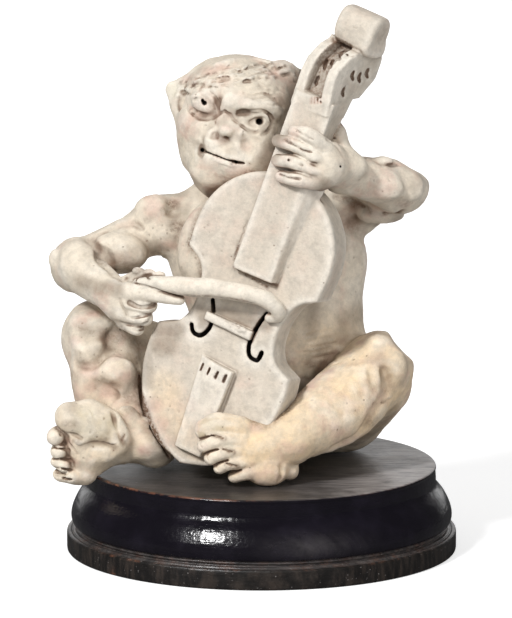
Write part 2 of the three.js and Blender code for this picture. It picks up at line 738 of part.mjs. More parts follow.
// A slab stands on the cello's frame with its flat side between two depths.
function slab(shape, from, to, frame = CELLO) {
  const geometry = new THREE.ExtrudeGeometry(shape, { depth: to - from, bevelEnabled: false });
  geometry.translate(0, 0, from);
  return solidOfGeometry(geometry, frame);
}

function polygon(points) {
  return new THREE.Shape(points.map(([u, v]) => new THREE.Vector2(u, v)));
}

// A groove follows a curve on the plate with a constant width.
function groove(points, width, from, to, steps = 10) {
  const curve = new THREE.SplineCurve(points.map(([u, v]) => new THREE.Vector2(u, v)));
  const middle = curve.getPoints(steps);
  const edge = (side) =>
    middle.map((p, n) => {
      const along = curve.getTangent(n / steps);
      return new THREE.Vector2(p.x - (side * along.y * width) / 2, p.y + (side * along.x * width) / 2);
    });
  return slab(new THREE.Shape([...edge(-1), ...edge(1).reverse()]), from, to);
}

function celloBody() {
  return slab(celloOutline(), -RIB_DEPTH, 0)
    .subtract(groove(NECK_SIDE_F_HOLE, F_HOLE_WIDTH, -F_HOLE_DEPTH, SUNK))
    .subtract(groove(BOW_SIDE_F_HOLE, F_HOLE_WIDTH, -F_HOLE_DEPTH, SUNK));
}

function celloNeck() {
  const half = NECK_WIDTH / 2;
  const shape = polygon([
    [1.7 - half, NECK_FOOT], [1.7 + half, NECK_FOOT + 0.4],
    [0.6 + half, NUT_HEIGHT + 1], [0.6 - half, NUT_HEIGHT + 1],
  ]);
  return slab(shape, NECK_PROUD - NECK_DEPTH, NECK_PROUD);
}

// The scroll is a plain roll with a squarish section.
function scrollOutline(steps = 28) {
  const squared = (v) => Math.sign(v) * Math.abs(v) ** SCROLL_SQUARENESS;
  const points = [];
  for (let n = 0; n < steps; n += 1) {
    const angle = (2 * Math.PI * n) / steps;
    const front = SCROLL_CENTRE[0] + SCROLL_RADII[0] * squared(Math.cos(angle));
    const height = SCROLL_CENTRE[1] + SCROLL_RADII[1] * squared(Math.sin(angle));
    points.push([front, height]);
  }
  return polygon(points);
}

// The pegbox and its scroll are turned a little about the neck.
function pegbox() {
  const pivot = CELLO.at(0.6, 0, -2);
  const side = add(times(CELLO.z, Math.cos(HEAD_TWIST)), times(CELLO.x, -Math.sin(HEAD_TWIST)));
  const profile = makeFrame(pivot, side, CELLO.y);
  const outline = polygon([
    [5.2, NUT_HEIGHT - 2.5], [5.2, 66], [4.4, 69.5], [1.5, 73.4], [-1.5, 75.3], [-2.6, 78],
    [-9.8, 78], [-10.7, 73], [-10.8, 69.5], [-8.1, 63.3], [-5.6, 62.8], [-5.2, NUT_HEIGHT - 2.5],
  ]);
  const half = NECK_WIDTH / 2 - 0.2;
  const cheeks = slab(outline, -half, half, profile);
  const scroll = slab(scrollOutline(), -SCROLL_WIDTH / 2, SCROLL_WIDTH / 2, profile);
  const slot = polygon([[-0.5, NUT_HEIGHT + 2], [7, NUT_HEIGHT + 1], [7, 75], [-3, 74.2]]);
  return cheeks.add(scroll).subtract(slab(slot, -PEG_SLOT_WIDTH / 2, PEG_SLOT_WIDTH / 2, profile));
}

// The tailpiece has a slot for the end of each string, and the bridge is a low bar.
function fittings() {
  const tail = polygon([
    [TAILPIECE_MIDDLE - TAILPIECE_WIDTH / 2, TAILPIECE_TOP],
    [TAILPIECE_MIDDLE + TAILPIECE_WIDTH / 2, TAILPIECE_TOP - 0.6],
    [TAILPIECE_MIDDLE + TAILPIECE_WIDTH / 2, TAILPIECE_END],
    [TAILPIECE_MIDDLE - TAILPIECE_WIDTH / 3.4, TAILPIECE_END],
  ]);
  const reach = BRIDGE_LENGTH / 2;
  const bridge = polygon([
    [BRIDGE_MIDDLE - reach, -1], [BRIDGE_MIDDLE + reach, -1.2],
    [BRIDGE_MIDDLE + reach, 1.1], [BRIDGE_MIDDLE - reach, 1.1],
  ]);
  const [wide, tall, deep] = STRING_SLOT_SIZE;
  let tailpiece = slab(tail, -SUNK, TAILPIECE_PROUD);
  STRING_SLOTS.forEach((u) => {
    const slot = polygon([
      [u - wide / 2, STRING_SLOT_FOOT], [u + wide / 2, STRING_SLOT_FOOT],
      [u + wide / 2, STRING_SLOT_FOOT + tall], [u - wide / 2, STRING_SLOT_FOOT + tall],
    ]);
    tailpiece = tailpiece.subtract(slab(slot, TAILPIECE_PROUD - deep, TAILPIECE_PROUD + SUNK));
  });
  return tailpiece.add(slab(bridge, -SUNK, BRIDGE_HEIGHT));
}

// The bow is a bent stick that lies across the plate, thick in the middle.
function bow(clay) {
  const route = [
    CELLO.at(-24.5, 0.8, 5), CELLO.at(-18.8, 3.5, 5.5), CELLO.at(-12.9, 5.2, 5.5),
    CELLO.at(-6.2, 7.6, 5.5), CELLO.at(-0.3, 9.2, 5), CELLO.at(5, 10.3, 4.5), CELLO.at(8.5, 10.3, 4),
    CELLO.at(11, 9.2, 3), CELLO.at(11.4, 7.4, 1.5), CELLO.at(9.6, 6, 0.8),
  ];
  clay.blend(chain(route, [1.2, 1.7, 2.2, 2.3, 2.3, 2.2, 2.1, 2, 1.7, 1.3]), 0.8);
}

// The space over the plinth's top stays free, so the seat and the feet are cut flat there.
function drum(radius, top) {
  const distance = (x, y, z) => Math.max(Math.hypot(x, y) - radius, z - top);
  return { distance, low: [-radius, -radius, top - 8], high: [radius, radius, top] };
}

function claySolid() {
  const clay = new Clay(CLAY_LOW, CLAY_HIGH, CELL);
  torso(clay);
  rests(clay);
  bowLeg(clay);
  neckLeg(clay);
  bowArm(clay);
  neckArm(clay);
  skull(clay);
  features(clay);
  earAndLock(clay);
  feet(clay);
  bowHand(clay);
  neckHand(clay);
  bow(clay);
  clay.press(drum(PLINTH_TOP_RADIUS + 0.4, PLINTH_HEIGHT + REST_GAP), 0.01);
  return solidOf(thin(largestPiece(skin(clay)), CLAY_FACES));
}

function figure() {
  const joined = claySolid().add(celloBody()).add(celloNeck()).add(pegbox()).add(fittings());
  const clean = thin(meshOf(joined), 0, SHORTEST_EDGE);
  return geometryOf(largestPiece(clean));
}

function plinth() {
  const seam = PLINTH_FOOT_HEIGHT + PLINTH_GROOVE_HEIGHT;
  const section = [
    [0, 0],
    [PLINTH_FOOT_RADIUS - PLINTH_FOOT_BEVEL, 0],
    [PLINTH_FOOT_RADIUS, PLINTH_FOOT_BEVEL],
    [PLINTH_FOOT_RADIUS, PLINTH_FOOT_HEIGHT - PLINTH_FOOT_BEVEL],
    [PLINTH_FOOT_RADIUS - PLINTH_FOOT_BEVEL, PLINTH_FOOT_HEIGHT],
    [PLINTH_GROOVE_RADIUS, PLINTH_FOOT_HEIGHT],
    [PLINTH_GROOVE_RADIUS, seam],
  ];
  const bulge = [
    [PLINTH_GROOVE_RADIUS + 0.5, seam],
    [PLINTH_BULGE_RADIUS, PLINTH_BULGE_CENTRE],
    [PLINTH_BULGE_RADIUS - 0.9, PLINTH_BULGE_CENTRE + 3.2],
    [PLINTH_TOP_RADIUS + 0.8, PLINTH_NECK_HEIGHT - 1.2],
    [PLINTH_TOP_RADIUS, PLINTH_NECK_HEIGHT],
  ];
  const top = [
    [PLINTH_TOP_RADIUS, PLINTH_HEIGHT - PLINTH_EDGE_ROUND],
    [PLINTH_TOP_RADIUS - PLINTH_EDGE_ROUND, PLINTH_HEIGHT],
    [0, PLINTH_HEIGHT],
  ];
  const vectors = (points) => points.map(([r, z]) => new THREE.Vector2(r, z));
  const round = new THREE.SplineCurve(vectors(bulge)).getPoints(PLINTH_BULGE_STEPS);
  const turned = new THREE.LatheGeometry([...vectors(section), ...round, ...vectors(top)], PLINTH_SIDES);
  turned.rotateX(Math.PI / 2);
  return turned;
}

const bisque = new THREE.MeshStandardMaterial({ color: '#e6dac4', roughness: 0.75, metalness: 0 });
const blackWood = new THREE.MeshStandardMaterial({ color: '#0d0b0c', roughness: 0.25, metalness: 0 });

const group = new THREE.Group();

const imp = new THREE.Mesh(figure(), bisque);
imp.name = 'imp_with_cello';
group.add(imp);

const stand = new THREE.Mesh(plinth(), blackWood);
stand.name = 'plinth';
group.add(stand);

export default group;
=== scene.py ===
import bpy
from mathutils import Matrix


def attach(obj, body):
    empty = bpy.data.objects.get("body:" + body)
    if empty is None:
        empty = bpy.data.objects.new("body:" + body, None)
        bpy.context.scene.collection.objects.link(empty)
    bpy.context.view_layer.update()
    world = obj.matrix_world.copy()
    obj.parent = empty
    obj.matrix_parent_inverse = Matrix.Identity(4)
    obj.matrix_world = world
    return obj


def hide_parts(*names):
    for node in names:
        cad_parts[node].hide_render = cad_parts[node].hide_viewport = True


bl_info = {
    "name": "Clay imp with a cello",
    "version": (1, 0, 0),
    "blender": (4, 5, 0),
    "location": "3D View > Sidebar > Clay imp",
    "description": "Models a fired clay imp that plays a cello on a turned black plinth",
    "category": "Object",
}

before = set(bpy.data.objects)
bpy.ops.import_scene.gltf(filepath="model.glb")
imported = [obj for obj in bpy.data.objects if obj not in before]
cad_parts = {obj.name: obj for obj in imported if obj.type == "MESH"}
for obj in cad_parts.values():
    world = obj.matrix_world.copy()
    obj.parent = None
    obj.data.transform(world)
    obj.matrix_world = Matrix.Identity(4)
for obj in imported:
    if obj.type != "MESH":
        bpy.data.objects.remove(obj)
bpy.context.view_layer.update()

import functools
import math
import random

import bmesh
import bpy
import numpy as np
import openvdb
from mathutils import Vector

# Everything is worked out in millimetres and written to the meshes in metres.
MM = 0.001

# Distances in the clay: the value where it is empty, and how deep the band is that is turned into a skin.
FAR_AWAY = 40.0
BAND = 2.5

# Straight parts that a roll of clay and a drawn line of the cello have between two of their points.
ROLL_PARTS = 4
LINE_PARTS = 8

# Masks painted from the hand's strokes. The cello's stain and black come with those of its slits and holes.
FIGURE_MASKS = ("stain", "black", "pink", "olive", "shade")
CELLO_MASKS = ("pink", "olive", "tan", "shade")

# How far off the clay is felt for hollows and edges, the share of each reach, and how strong both come out.
HOLLOW_EDGE_REACHES = ((0.7, 0.4), (1.6, 0.35), (3.2, 0.25))
HOLLOW_GAIN = 1.6
PROUD_GAIN = 3

# Slow unevenness of the clay: height and size of the lumps, and the seed of their noise.
FIGURE_LUMPS = ((0.14, 3.8, 1), (0.08, 1.7, 2), (0.04, 0.8, 3))
CELLO_LUMPS = (0.04, 2.6, 7)

# Cell of the cello's clay, and of the coarser copy that finds where the imp touches it, within a reach.
CELLO_CELL = 0.3
TOUCH_CELL = 0.6
TOUCH_REACH = 1.5

# Plinth: its section from the underside up.
PLINTH_HEIGHT = 21.5
FOOT_RADIUS = 48.95
FOOT_HEIGHT = 5.2
GROOVE_RADIUS = 46.4
GROOVE_HEIGHT = 0.8
BULGE_RADIUS = 47.8
BULGE_CENTRE = 9.6
TOP_RADIUS = 43.8
NECK_HEIGHT = 17.2
REST_GAP = 0.3
SOFT_CORNER = 0.12
# The worn round of the top's rim: how far it goes back and how far it has dropped.
RIM_ROUND = ((0, 0.8), (0, 0.55), (0.05, 0.35), (0.16, 0.18), (0.34, 0.06), (0.6, 0.01), (1, 0))

# Cello: a frame whose axes run across the front plate, up its length and out of its front.
CELLO_TURN = math.radians(20.5)
CELLO_LEAN = math.radians(7)
CELLO_ROLL = math.radians(19.5)
CELLO_ORIGIN = (-8.05, -21.5, 60.87)
CELLO_MIDDLE = 0.9
CELLO_TOP = 39.4
CELLO_BOTTOM = -37.0
UPPER_HALF = 18.6
WAIST_HALF = 12.0
LOWER_HALF = 19.2
RIB_DEPTH = 9.5
NECK_WIDTH = 10.8
NECK_PROUD = 3.0
NECK_DEPTH = 10.0
NECK_FOOT = 14.0
NECK_FOOT_MIDDLE = 1.7
NUT_HEIGHT = 60.0
NUT_MIDDLE = 0.6
PEGBOX_FOOT = NUT_HEIGHT - 2.5
HEAD_TWIST = math.radians(20)
HEAD_PIVOT = (0.6, -2.0)
PEG_SLOT_WIDTH = 5.0
SCROLL_CENTRE = (-4.6, 79.4)
SCROLL_RADII = (5.2, 5.1)
SCROLL_WIDTH = 10.7
SCROLL_SHIFT = 1.8
SCROLL_SQUARE = 2.7
SCROLL_EDGE = 1.2
HOLE_WIDTH = 0.5
HOLE_DEPTH = 3.2
SOUND_HOLES = (
    ((8, 6.4), (7, 3), (6.5, -1.5), (7.6, -4.8), (10, -5.2), (10.4, -3)),
    ((-6.3, 4), (-5, 1), (-4.5, -2.4), (-5.8, -5.2), (-8, -5.4), (-9.2, -3.8)),
)
TAIL_CORNERS = ((-3.6, -9.5), (6, -10.1), (6, -33), (-1.6, -33))
TAIL_PROUD = 2.4
TAIL_SLITS = tuple(((slit, -13.1), (slit + 0.1, -11.5)) for slit in (-2.4, 0, 2.3, 4.6))
SLIT_WIDTH = 0.26
SLIT_DEPTH = 0.9
BRIDGE_CORNERS = ((-6.3, -1), (6.7, -1.2), (6.7, 1.1), (-6.3, 1.1))
BRIDGE_PROUD = 1.6

# Joints of the limbs. The bow side is the player's right, on -X, and the neck side is on +X.
BOW_SHOULDER = (-25.2, 11, 80.4)
BOW_ELBOW = (-46.6, 4, 71.6)
BOW_WRIST = (-37, -11, 66.6)
NECK_SHOULDER = (24, 14, 86)
NECK_ELBOW = (34.8, -3, 92.6)
NECK_WRIST = (19.5, -15, 98)
BOW_HIP = (-9, 18, 35)
BOW_KNEE = (-41, 6, 54)
BOW_ANKLE = (-33.5, -5, 34)
NECK_HIP = (14, 18, 35)
NECK_KNEE = (29.4, -7, 47.8)
NECK_CALF = (20.2, -13.5, 39.6)
NECK_ANKLE = (8, -24.5, 33.6)
HEAD_CENTRE = (-5.9, 2, 110.4)
FACING = (-0.17, -0.98, -0.02)
CROWN_WAY = (0.29, 0, 0.957)

# Balls in which the figure keeps all its faces: the face, the hands and the feet.
FINE_BALLS = (
    ((-7, -14, 108), 14.5),
    ((-31, -15.5, 65), 9),
    ((8, -21, 104), 9.5),
    ((-44, -14, 27), 11),
    ((-7, -28, 27), 10.5),
)

# Balls of warmer clay on the legs and feet, each with its strength. Above TAN_TOP it has faded out.
TAN_BALLS = (((28, -14, 38), 26, 1.0), ((2, -28, 30), 22, 1.0), ((-38, -10, 26), 24, 0.5))
TAN_TOP = 64
TAN_FADE = 8

# Line of sight. Front marks are placed on a sheet that stands square to it.
SIGHT_DOWN = math.radians(10.5)
SIGHT_REACH = 1500.0
SHEET_MIDDLE = (-1.4, 0, 60.9)

# How far in front of the sheet and behind it the hand feels for the clay, and in what steps.
FEEL_DEPTH = 48
FEEL_STEP = 0.15

# The picture: its height in pixels, how many of them cover a millimetre of the sheet, and the sensor in mm.
PICTURE_HEIGHT = 618
PIXELS_PER_MM = 4
SENSOR_HEIGHT = 24

# Where the two lights come from, how far off they are drawn in metres, and how much wider the fill is.
KEY_FROM = (-0.45, -0.64, 0.62)
FILL_FROM = (0.28, -0.86, 0.43)
LIGHT_REACH = 0.6
FILL_WIDENING = 4

# The floor in mm: half its width, how far it comes forward and how far it goes back.
FLOOR_HALF = 4000
FLOOR_FRONT = -4000
FLOOR_BACK = 6000


def vec(*a):
    """An array from three numbers, or from one list of them."""
    return np.array(a if len(a) > 1 else a[0], float)


def unit(a):
    a = vec(a)
    return a / np.linalg.norm(a)


class Axes:
    """A local frame: two directions are given, and the second is squared up against the first."""

    def __init__(self, origin, first, second, hand=1):
        self.origin = vec(origin)
        self.x = unit(first)
        self.y = unit(vec(second) - self.x * np.dot(second, self.x))
        self.z = np.cross(self.x, self.y) * hand

    def at(self, u, v, w):
        return self.origin + self.x * u + self.y * v + self.z * w


WORLD = Axes((0, 0, 0), (1, 0, 0), (0, 1, 0))


def cello_axes():
    """The plate is turned aside, leant back and rolled over."""
    out = vec(
        -math.sin(CELLO_TURN) * math.cos(CELLO_LEAN),
        -math.cos(CELLO_TURN) * math.cos(CELLO_LEAN),
        math.sin(CELLO_LEAN),
    )
    level = vec(math.cos(CELLO_TURN), -math.sin(CELLO_TURN), 0)
    upright = -np.cross(level, out)
    up = level * math.sin(CELLO_ROLL) + upright * math.cos(CELLO_ROLL)
    across = level * math.cos(CELLO_ROLL) - upright * math.sin(CELLO_ROLL)
    return Axes(CELLO_ORIGIN, across, up)


CELLO = cello_axes()
CELLO_TURNED = np.array([CELLO.x, CELLO.y, CELLO.z])
HEAD = Axes(HEAD_CENTRE, np.cross(CROWN_WAY, FACING), FACING, -1)
SHEET = Axes(SHEET_MIDDLE, (1, 0, 0), (0, math.sin(SIGHT_DOWN), math.cos(SIGHT_DOWN)))


def to_cello(points):
    """The same places in the cello's own frame."""
    return (points - CELLO.origin) @ CELLO_TURNED.T


# Lumps: a lump is a signed distance with the box that holds its surface.


def plain(a):
    """Plain numbers keep the blocks in single precision."""
    return [float(value) for value in a]


def join(a, b, soft):
    """Two distances become one, with a soft seam."""
    h = np.maximum(soft - np.abs(a - b), 0) / soft
    return np.minimum(a, b) - h * h * soft / 4


def cut(a, b, soft):
    """The second is taken out of the first, with a soft edge."""
    h = np.maximum(soft - np.abs(a + b), 0) / soft
    return np.maximum(a, -b) + h * h * soft / 4


class Lump:
    """A form with its distance and its box. One made of links has their distances in place of its own."""

    def __init__(self, distance, points, radius):
        points = np.array(points, float).reshape(-1, 3)
        self.distance = distance
        self.low = points.min(0) - radius
        self.high = points.max(0) + radius
        self.links = None


def limb(a, b, ra, rb=None):
    """It tapers from one ball to another."""
    a, b = vec(a), vec(b)
    rb = float(ra if rb is None else rb)
    ra = float(ra)
    ax, ay, az = plain(a)
    dx, dy, dz = plain(b - a)
    span = dx * dx + dy * dy + dz * dz

    def distance(x, y, z):
        px, py, pz = x - ax, y - ay, z - az
        t = np.clip((px * dx + py * dy + pz * dz) / span, 0, 1)
        gap = np.sqrt((px - dx * t) ** 2 + (py - dy * t) ** 2 + (pz - dz * t) ** 2)
        return gap - (ra + (rb - ra) * t)

    return Lump(distance, [a, b], max(ra, rb))


def egg(centre, radii, axes=WORLD):
    """It has a radius along each axis of its frame."""
    centre = vec(centre)
    cx, cy, cz = plain(centre)
    ways = [(plain(axis), float(radius)) for axis, radius in zip((axes.x, axes.y, axes.z), radii)]

    def distance(x, y, z):
        px, py, pz = x - cx, y - cy, z - cz
        near = slope = 0.0
        for axis, radius in ways:
            along = px * axis[0] + py * axis[1] + pz * axis[2]
            near = near + (along / radius) ** 2
            slope = slope + (along / radius**2) ** 2
        near = np.sqrt(near)
        return near * (near - 1) / np.maximum(np.sqrt(slope), 1e-4)

    return Lump(distance, [centre], max(radii))


def curve_through(points, parts):
    """Points on a smooth curve through the given ones."""
    points = np.array(points, float)
    padded = np.vstack([2 * points[0] - points[1], points, 2 * points[-1] - points[-2]])
    out = []
    for i in range(1, len(padded) - 2):
        p0, p1, p2, p3 = padded[i - 1 : i + 3]
        for n in range(parts):
            t = n / parts
            out.append(
                0.5
                * (
                    2 * p1
                    + (p2 - p0) * t
                    + (2 * p0 - 5 * p1 + 4 * p2 - p3) * t**2
                    + (3 * p1 - p0 - 3 * p2 + p3) * t**3
                )
            )
    out.append(points[-1])
    return np.array(out)


def roll(points, radii):
    """A smooth tapering roll of clay through several points, as a finger or a fold is."""
    radii = [radii] * len(points) if np.isscalar(radii) else radii
    line = curve_through([(*p, r) for p, r in zip(points, radii)], ROLL_PARTS)
    lump = Lump(None, line[:, :3], max(radii))
    lump.links = [limb(a[:3], b[:3], a[3], b[3]) for a, b in zip(line, line[1:])]
    return lump


class Clay:
    """A block of distances that lumps are blended into and tools are pressed into."""

    def __init__(self, low, high, cell):
        self.low = vec(low)
        self.cell = cell
        self.size = np.ceil((vec(high) - self.low) / cell).astype(int) + 1
        self.field = np.full(self.size, FAR_AWAY, np.float32)

    def line(self, axis, start=0, stop=None):
        """The places of the cells along one axis."""
        stop = self.size[axis] if stop is None else stop
        shape = [1, 1, 1]
        shape[axis] = -1
        n = np.arange(start, stop, dtype=np.float32)
        return (self.low[axis] + n * self.cell).astype(np.float32).reshape(shape)

    def cells(self, lump, reach):
        """The first cells within reach of a lump, and the first ones past it."""
        first = np.floor((lump.low - reach - self.low) / self.cell).astype(int)
        past = np.ceil((lump.high + reach - self.low) / self.cell).astype(int) + 1
        return np.maximum(first, 0), np.minimum(past, self.size)

    def each(self, lump, reach, change):
        """Changes the cells that lie within reach of a lump."""
        a, b = self.cells(lump, reach)
        if (b <= a).any():
            return
        where = tuple(slice(p, q) for p, q in zip(a, b))
        if lump.links is None:
            new = lump.distance(*(self.line(i, a[i], b[i]) for i in range(3)))
        else:
            new = np.full(b - a, FAR_AWAY, np.float32)
            for link in lump.links:
                c, d = self.cells(link, reach)
                c, d = np.maximum(c, a), np.minimum(d, b)
                if (d <= c).any():
                    continue
                part = tuple(slice(p, q) for p, q in zip(c - a, d - a))
                near = link.distance(*(self.line(i, c[i], d[i]) for i in range(3)))
                new[part] = np.minimum(new[part], near)
        self.field[where] = change(self.field[where], new)

    def blend(self, lump, soft):
        self.each(lump, soft + 2 * self.cell, lambda old, new: join(old, new, soft))

    def press(self, tool, soft):
        self.each(tool, soft + 2 * self.cell, lambda old, new: cut(old, new, soft))

    def sample(self, points):
        """The distance at each point, read between the cells."""
        at = (points - self.low) / self.cell
        at = np.clip(at, 0, np.array(self.size) - 1.001)
        n = at.astype(int)
        f = at - n
        out = 0.0
        for dx in (0, 1):
            for dy in (0, 1):
                for dz in (0, 1):
                    share = np.abs(1 - dx - f[:, 0]) * np.abs(1 - dy - f[:, 1]) * np.abs(1 - dz - f[:, 2])
                    out = out + share * self.field[n[:, 0] + dx, n[:, 1] + dy, n[:, 2] + dz]
        return out


class Hand:
    """It works the clay from the front: x runs across the sheet, h up it, and out towards the eye.

    Both are in millimetres from the sheet's middle. Each stroke of paint is the name of its mask, its
    line, its radius and its strength.
    """

    def __init__(self, clay, sheet=SHEET):
        self.clay = clay
        self.sheet = sheet
        self.eye = sheet.at(0, 0, SIGHT_REACH)
        self.paint = []

    def on(self, x, h, out=0.0):
        """The first point of the clay that is met in line with x and h."""
        way = unit(self.sheet.at(x, h, 0) - self.eye)
        reach = SIGHT_REACH + np.arange(-FEEL_DEPTH, FEEL_DEPTH, FEEL_STEP)
        points = self.eye + np.outer(reach, way)
        gap = self.clay.sample(points)
        if not (gap < 0).any():
            return points[int(gap.argmin())] - way * out
        first = max(int((gap < 0).argmax()), 1)
        share = gap[first - 1] / max(gap[first - 1] - gap[first], 1e-6)
        return points[first - 1] + (points[first] - points[first - 1]) * share - way * out

    def along(self, points, out=0.0):
        return [self.on(x, h, out) for x, h in points]

    def at(self, x, h, near):
        """The place in line with x and h that is so much nearer than the sheet."""
        return self.eye + (self.sheet.at(x, h, 0) - self.eye) * (1 - near / SIGHT_REACH)

    def turned(self, lean):
        """The sheet's directions, turned by so many degrees in its plane."""
        x, y = self.sheet.x, self.sheet.y
        cos, sin = math.cos(math.radians(lean)), math.sin(math.radians(lean))
        return Axes((0, 0, 0), x * cos + y * sin, y * cos - x * sin)

    def lump(self, x, h, radii, soft, out=0.0, lean=0.0):
        self.clay.blend(egg(self.on(x, h, out), radii, self.turned(lean)), soft)

    def dent(self, x, h, radii, soft, out=0.0, lean=0.0):
        self.clay.press(egg(self.on(x, h, out), radii, self.turned(lean)), soft)

    def ridge(self, points, radii, soft=0.8, out=0.0):
        self.clay.blend(roll(self.along(points, out), radii), soft)

    def groove(self, points, width, stain=0.7, soft=0.35, sunk=0.0, spread=0.15):
        """A rounded furrow, with dirt along it."""
        line = self.along(points, -sunk)
        self.clay.press(roll(line, width), soft)
        if stain:
            path = curve_through(line, ROLL_PARTS)
            self.paint.append(("stain", path, 0.8 * np.mean(width) + spread, stain))

    def slit(self, points, width, deep, name="stain", strength=1.0, spread=0.2):
        """A cut of one width that goes straight in."""
        step = 0.8 * float(np.mean(width))
        lines = [self.along(points, -step * n) for n in range(int(deep / step) + 1)]
        for line in lines:
            self.clay.press(roll(line, width), 0.2)
            path = curve_through(line, ROLL_PARTS)
            self.paint.append((name, path, float(np.mean(width)) + spread, strength))

    def hole(self, x, h, wide, high, deep, stain=1.0):
        """A small pit, painted black inside as painted shade."""
        self.clay.press(egg(self.on(x, h), (wide, high, deep), self.sheet), 0.25)
        line = np.array([self.on(x, h, deep), self.on(x, h)])
        self.paint.append(("black", line, (wide + high) * 0.55 + 0.2, stain))

    def tint(self, name, points, radius, strength):
        """Paint alone, along a line."""
        self.paint.append((name, np.array(self.along(points)), radius, strength))

    def dabs(self, name, half, dabs):
        """Short level strokes: where their middle is across and up, their radius and their strength."""
        for x, h, radius, strength in dabs:
            self.tint(name, [(x - half, h), (x + half, h)], radius, strength)

    def pin_holes(self, seed, patches, least, squash, deep, halo):
        """Small dark pits, scattered about the middle of each patch: place, width, height and count."""
        draw = random.Random(seed)
        for x, h, wide, high, count in patches:
            for _ in range(count):
                place = self.on(draw.gauss(x, wide / 2), draw.gauss(h, high / 2))
                size = draw.uniform(least, 0.22)
                self.clay.press(egg(place, (size, size * squash, size * deep), self.sheet), 0.15)
                self.paint.append(("stain", np.array([place, place]), size + halo, draw.uniform(0.4, 1)))


# Meshes


def skin(clay):
    """The largest closed surface of the clay, as points and four-sided faces."""
    grid = openvdb.FloatGrid(BAND)
    grid.copyFromArray(np.clip(clay.field, -BAND, BAND), ijk=(0, 0, 0), tolerance=1e-6)
    points, _, quads = grid.convertToPolygons(isovalue=0.0, adaptivity=0.0)
    quads = quads.astype(np.int64)
    owner = np.arange(len(points))
    ends = np.concatenate([quads[:, [0, 1]], quads[:, [1, 2]], quads[:, [2, 3]], quads[:, [3, 0]]])
    while True:
        least = np.minimum(owner[ends[:, 0]], owner[ends[:, 1]])
        if (owner[ends[:, 0]] == owner[ends[:, 1]]).all():
            break
        np.minimum.at(owner, owner[ends[:, 0]], least)
        np.minimum.at(owner, owner[ends[:, 1]], least)
        while (owner[owner] != owner).any():
            owner = owner[owner]
    names, counts = np.unique(owner[quads[:, 0]], return_counts=True)
    quads = quads[owner[quads[:, 0]] == names[counts.argmax()]]
    used = np.unique(quads)
    fresh = np.zeros(len(points), np.int64)
    fresh[used] = np.arange(len(used))
    points = clay.low + points[used].astype(float) * clay.cell
    quads = fresh[quads]
    a, b, c = (points[quads[:, i]] for i in (0, 1, 2))
    if np.einsum("ij,ij->i", np.cross(b - a, c - a), a - points.mean(0)).sum() < 0:
        quads = quads[:, ::-1]
    return points, quads


def normals_of(points, quads):
    """The normal at each point, from the four-sided faces round it."""
    across = points[quads[:, 2]] - points[quads[:, 0]]
    other = points[quads[:, 3]] - points[quads[:, 1]]
    face = np.cross(across, other)
    out = np.zeros_like(points)
    for i in range(4):
        for k in range(3):
            out[:, k] += np.bincount(quads[:, i], face[:, k], len(points))
    return out / np.maximum(np.linalg.norm(out, axis=1, keepdims=True), 1e-12)


def lattice_noise(points, size, seed):
    """Smooth noise from -1 to 1 whose lumps are as big as the given size."""
    at = points / size + seed * 17.31
    n = np.floor(at).astype(np.int64)
    f = at - n
    f = f * f * (3 - 2 * f)
    out = np.zeros(len(points))
    for corner in range(8):
        d = np.array([corner & 1, (corner >> 1) & 1, corner >> 2])
        k = (n + d) * np.array([73856093, 19349663, 83492791])
        h = (k[:, 0] ^ k[:, 1] ^ k[:, 2]) & 0xFFFFFF
        h = (h * 1103515245 + 12345 + seed * 7919) & 0x7FFFFFFF
        h = (h ^ (h >> 13)) * 1274126177 & 0x7FFFFFFF
        share = np.prod(np.where(d == 1, f, 1 - f), axis=1)
        out += share * (h / 0x3FFFFFFF - 1)
    return out


def new_object(name, points, faces, material):
    """A mesh object from points in millimetres."""
    mesh = bpy.data.meshes.new(name)
    mesh.from_pydata((np.asarray(points) * MM).tolist(), [], np.asarray(faces).tolist())
    mesh.materials.append(material)
    piece = bpy.data.objects.new(name, mesh)
    bpy.context.scene.collection.objects.link(piece)
    return piece


def fewer_faces(piece, wanted, fine_balls=()):
    """Folds edges away, flattest first, until the wanted number is left. Inside the balls they stay."""
    triangles = sum(len(p.vertices) - 2 for p in piece.data.polygons)
    if triangles > wanted:
        fold = piece.modifiers.new("Fewer faces", "DECIMATE")
        fold.ratio = wanted / triangles
        if fine_balls:
            points = co_of(piece)
            inside = np.zeros(len(points), bool)
            for centre, reach in fine_balls:
                inside |= np.linalg.norm(points - vec(centre), axis=1) < reach
            kept = piece.vertex_groups.new(name="fine")
            kept.add(inside.nonzero()[0].tolist(), 1.0, "REPLACE")
            fold.vertex_group = kept.name
            fold.invert_vertex_group = True
        fold.use_collapse_triangulate = True
        bpy.context.view_layer.update()
        graph = bpy.context.evaluated_depsgraph_get()
        mesh = bpy.data.meshes.new_from_object(piece.evaluated_get(graph))
        piece.modifiers.clear()
        piece.vertex_groups.clear()
        piece.data = mesh
    smooth(piece)


def each_point(rows, label, count):
    """Reads three numbers for each point."""
    flat = np.zeros(count * 3, np.float32)
    rows.foreach_get(label, flat)
    return flat.reshape(-1, 3).astype(float)


def co_of(piece):
    """The places of a piece's points in millimetres."""
    return each_point(piece.data.vertices, "co", len(piece.data.vertices)) / MM


def smooth(piece):
    for polygon in piece.data.polygons:
        polygon.use_smooth = True


def write_mask(piece, name, values):
    layer = piece.data.attributes.new(name, "FLOAT", "POINT")
    layer.data.foreach_set("value", np.clip(values, 0, 1).astype(np.float32))


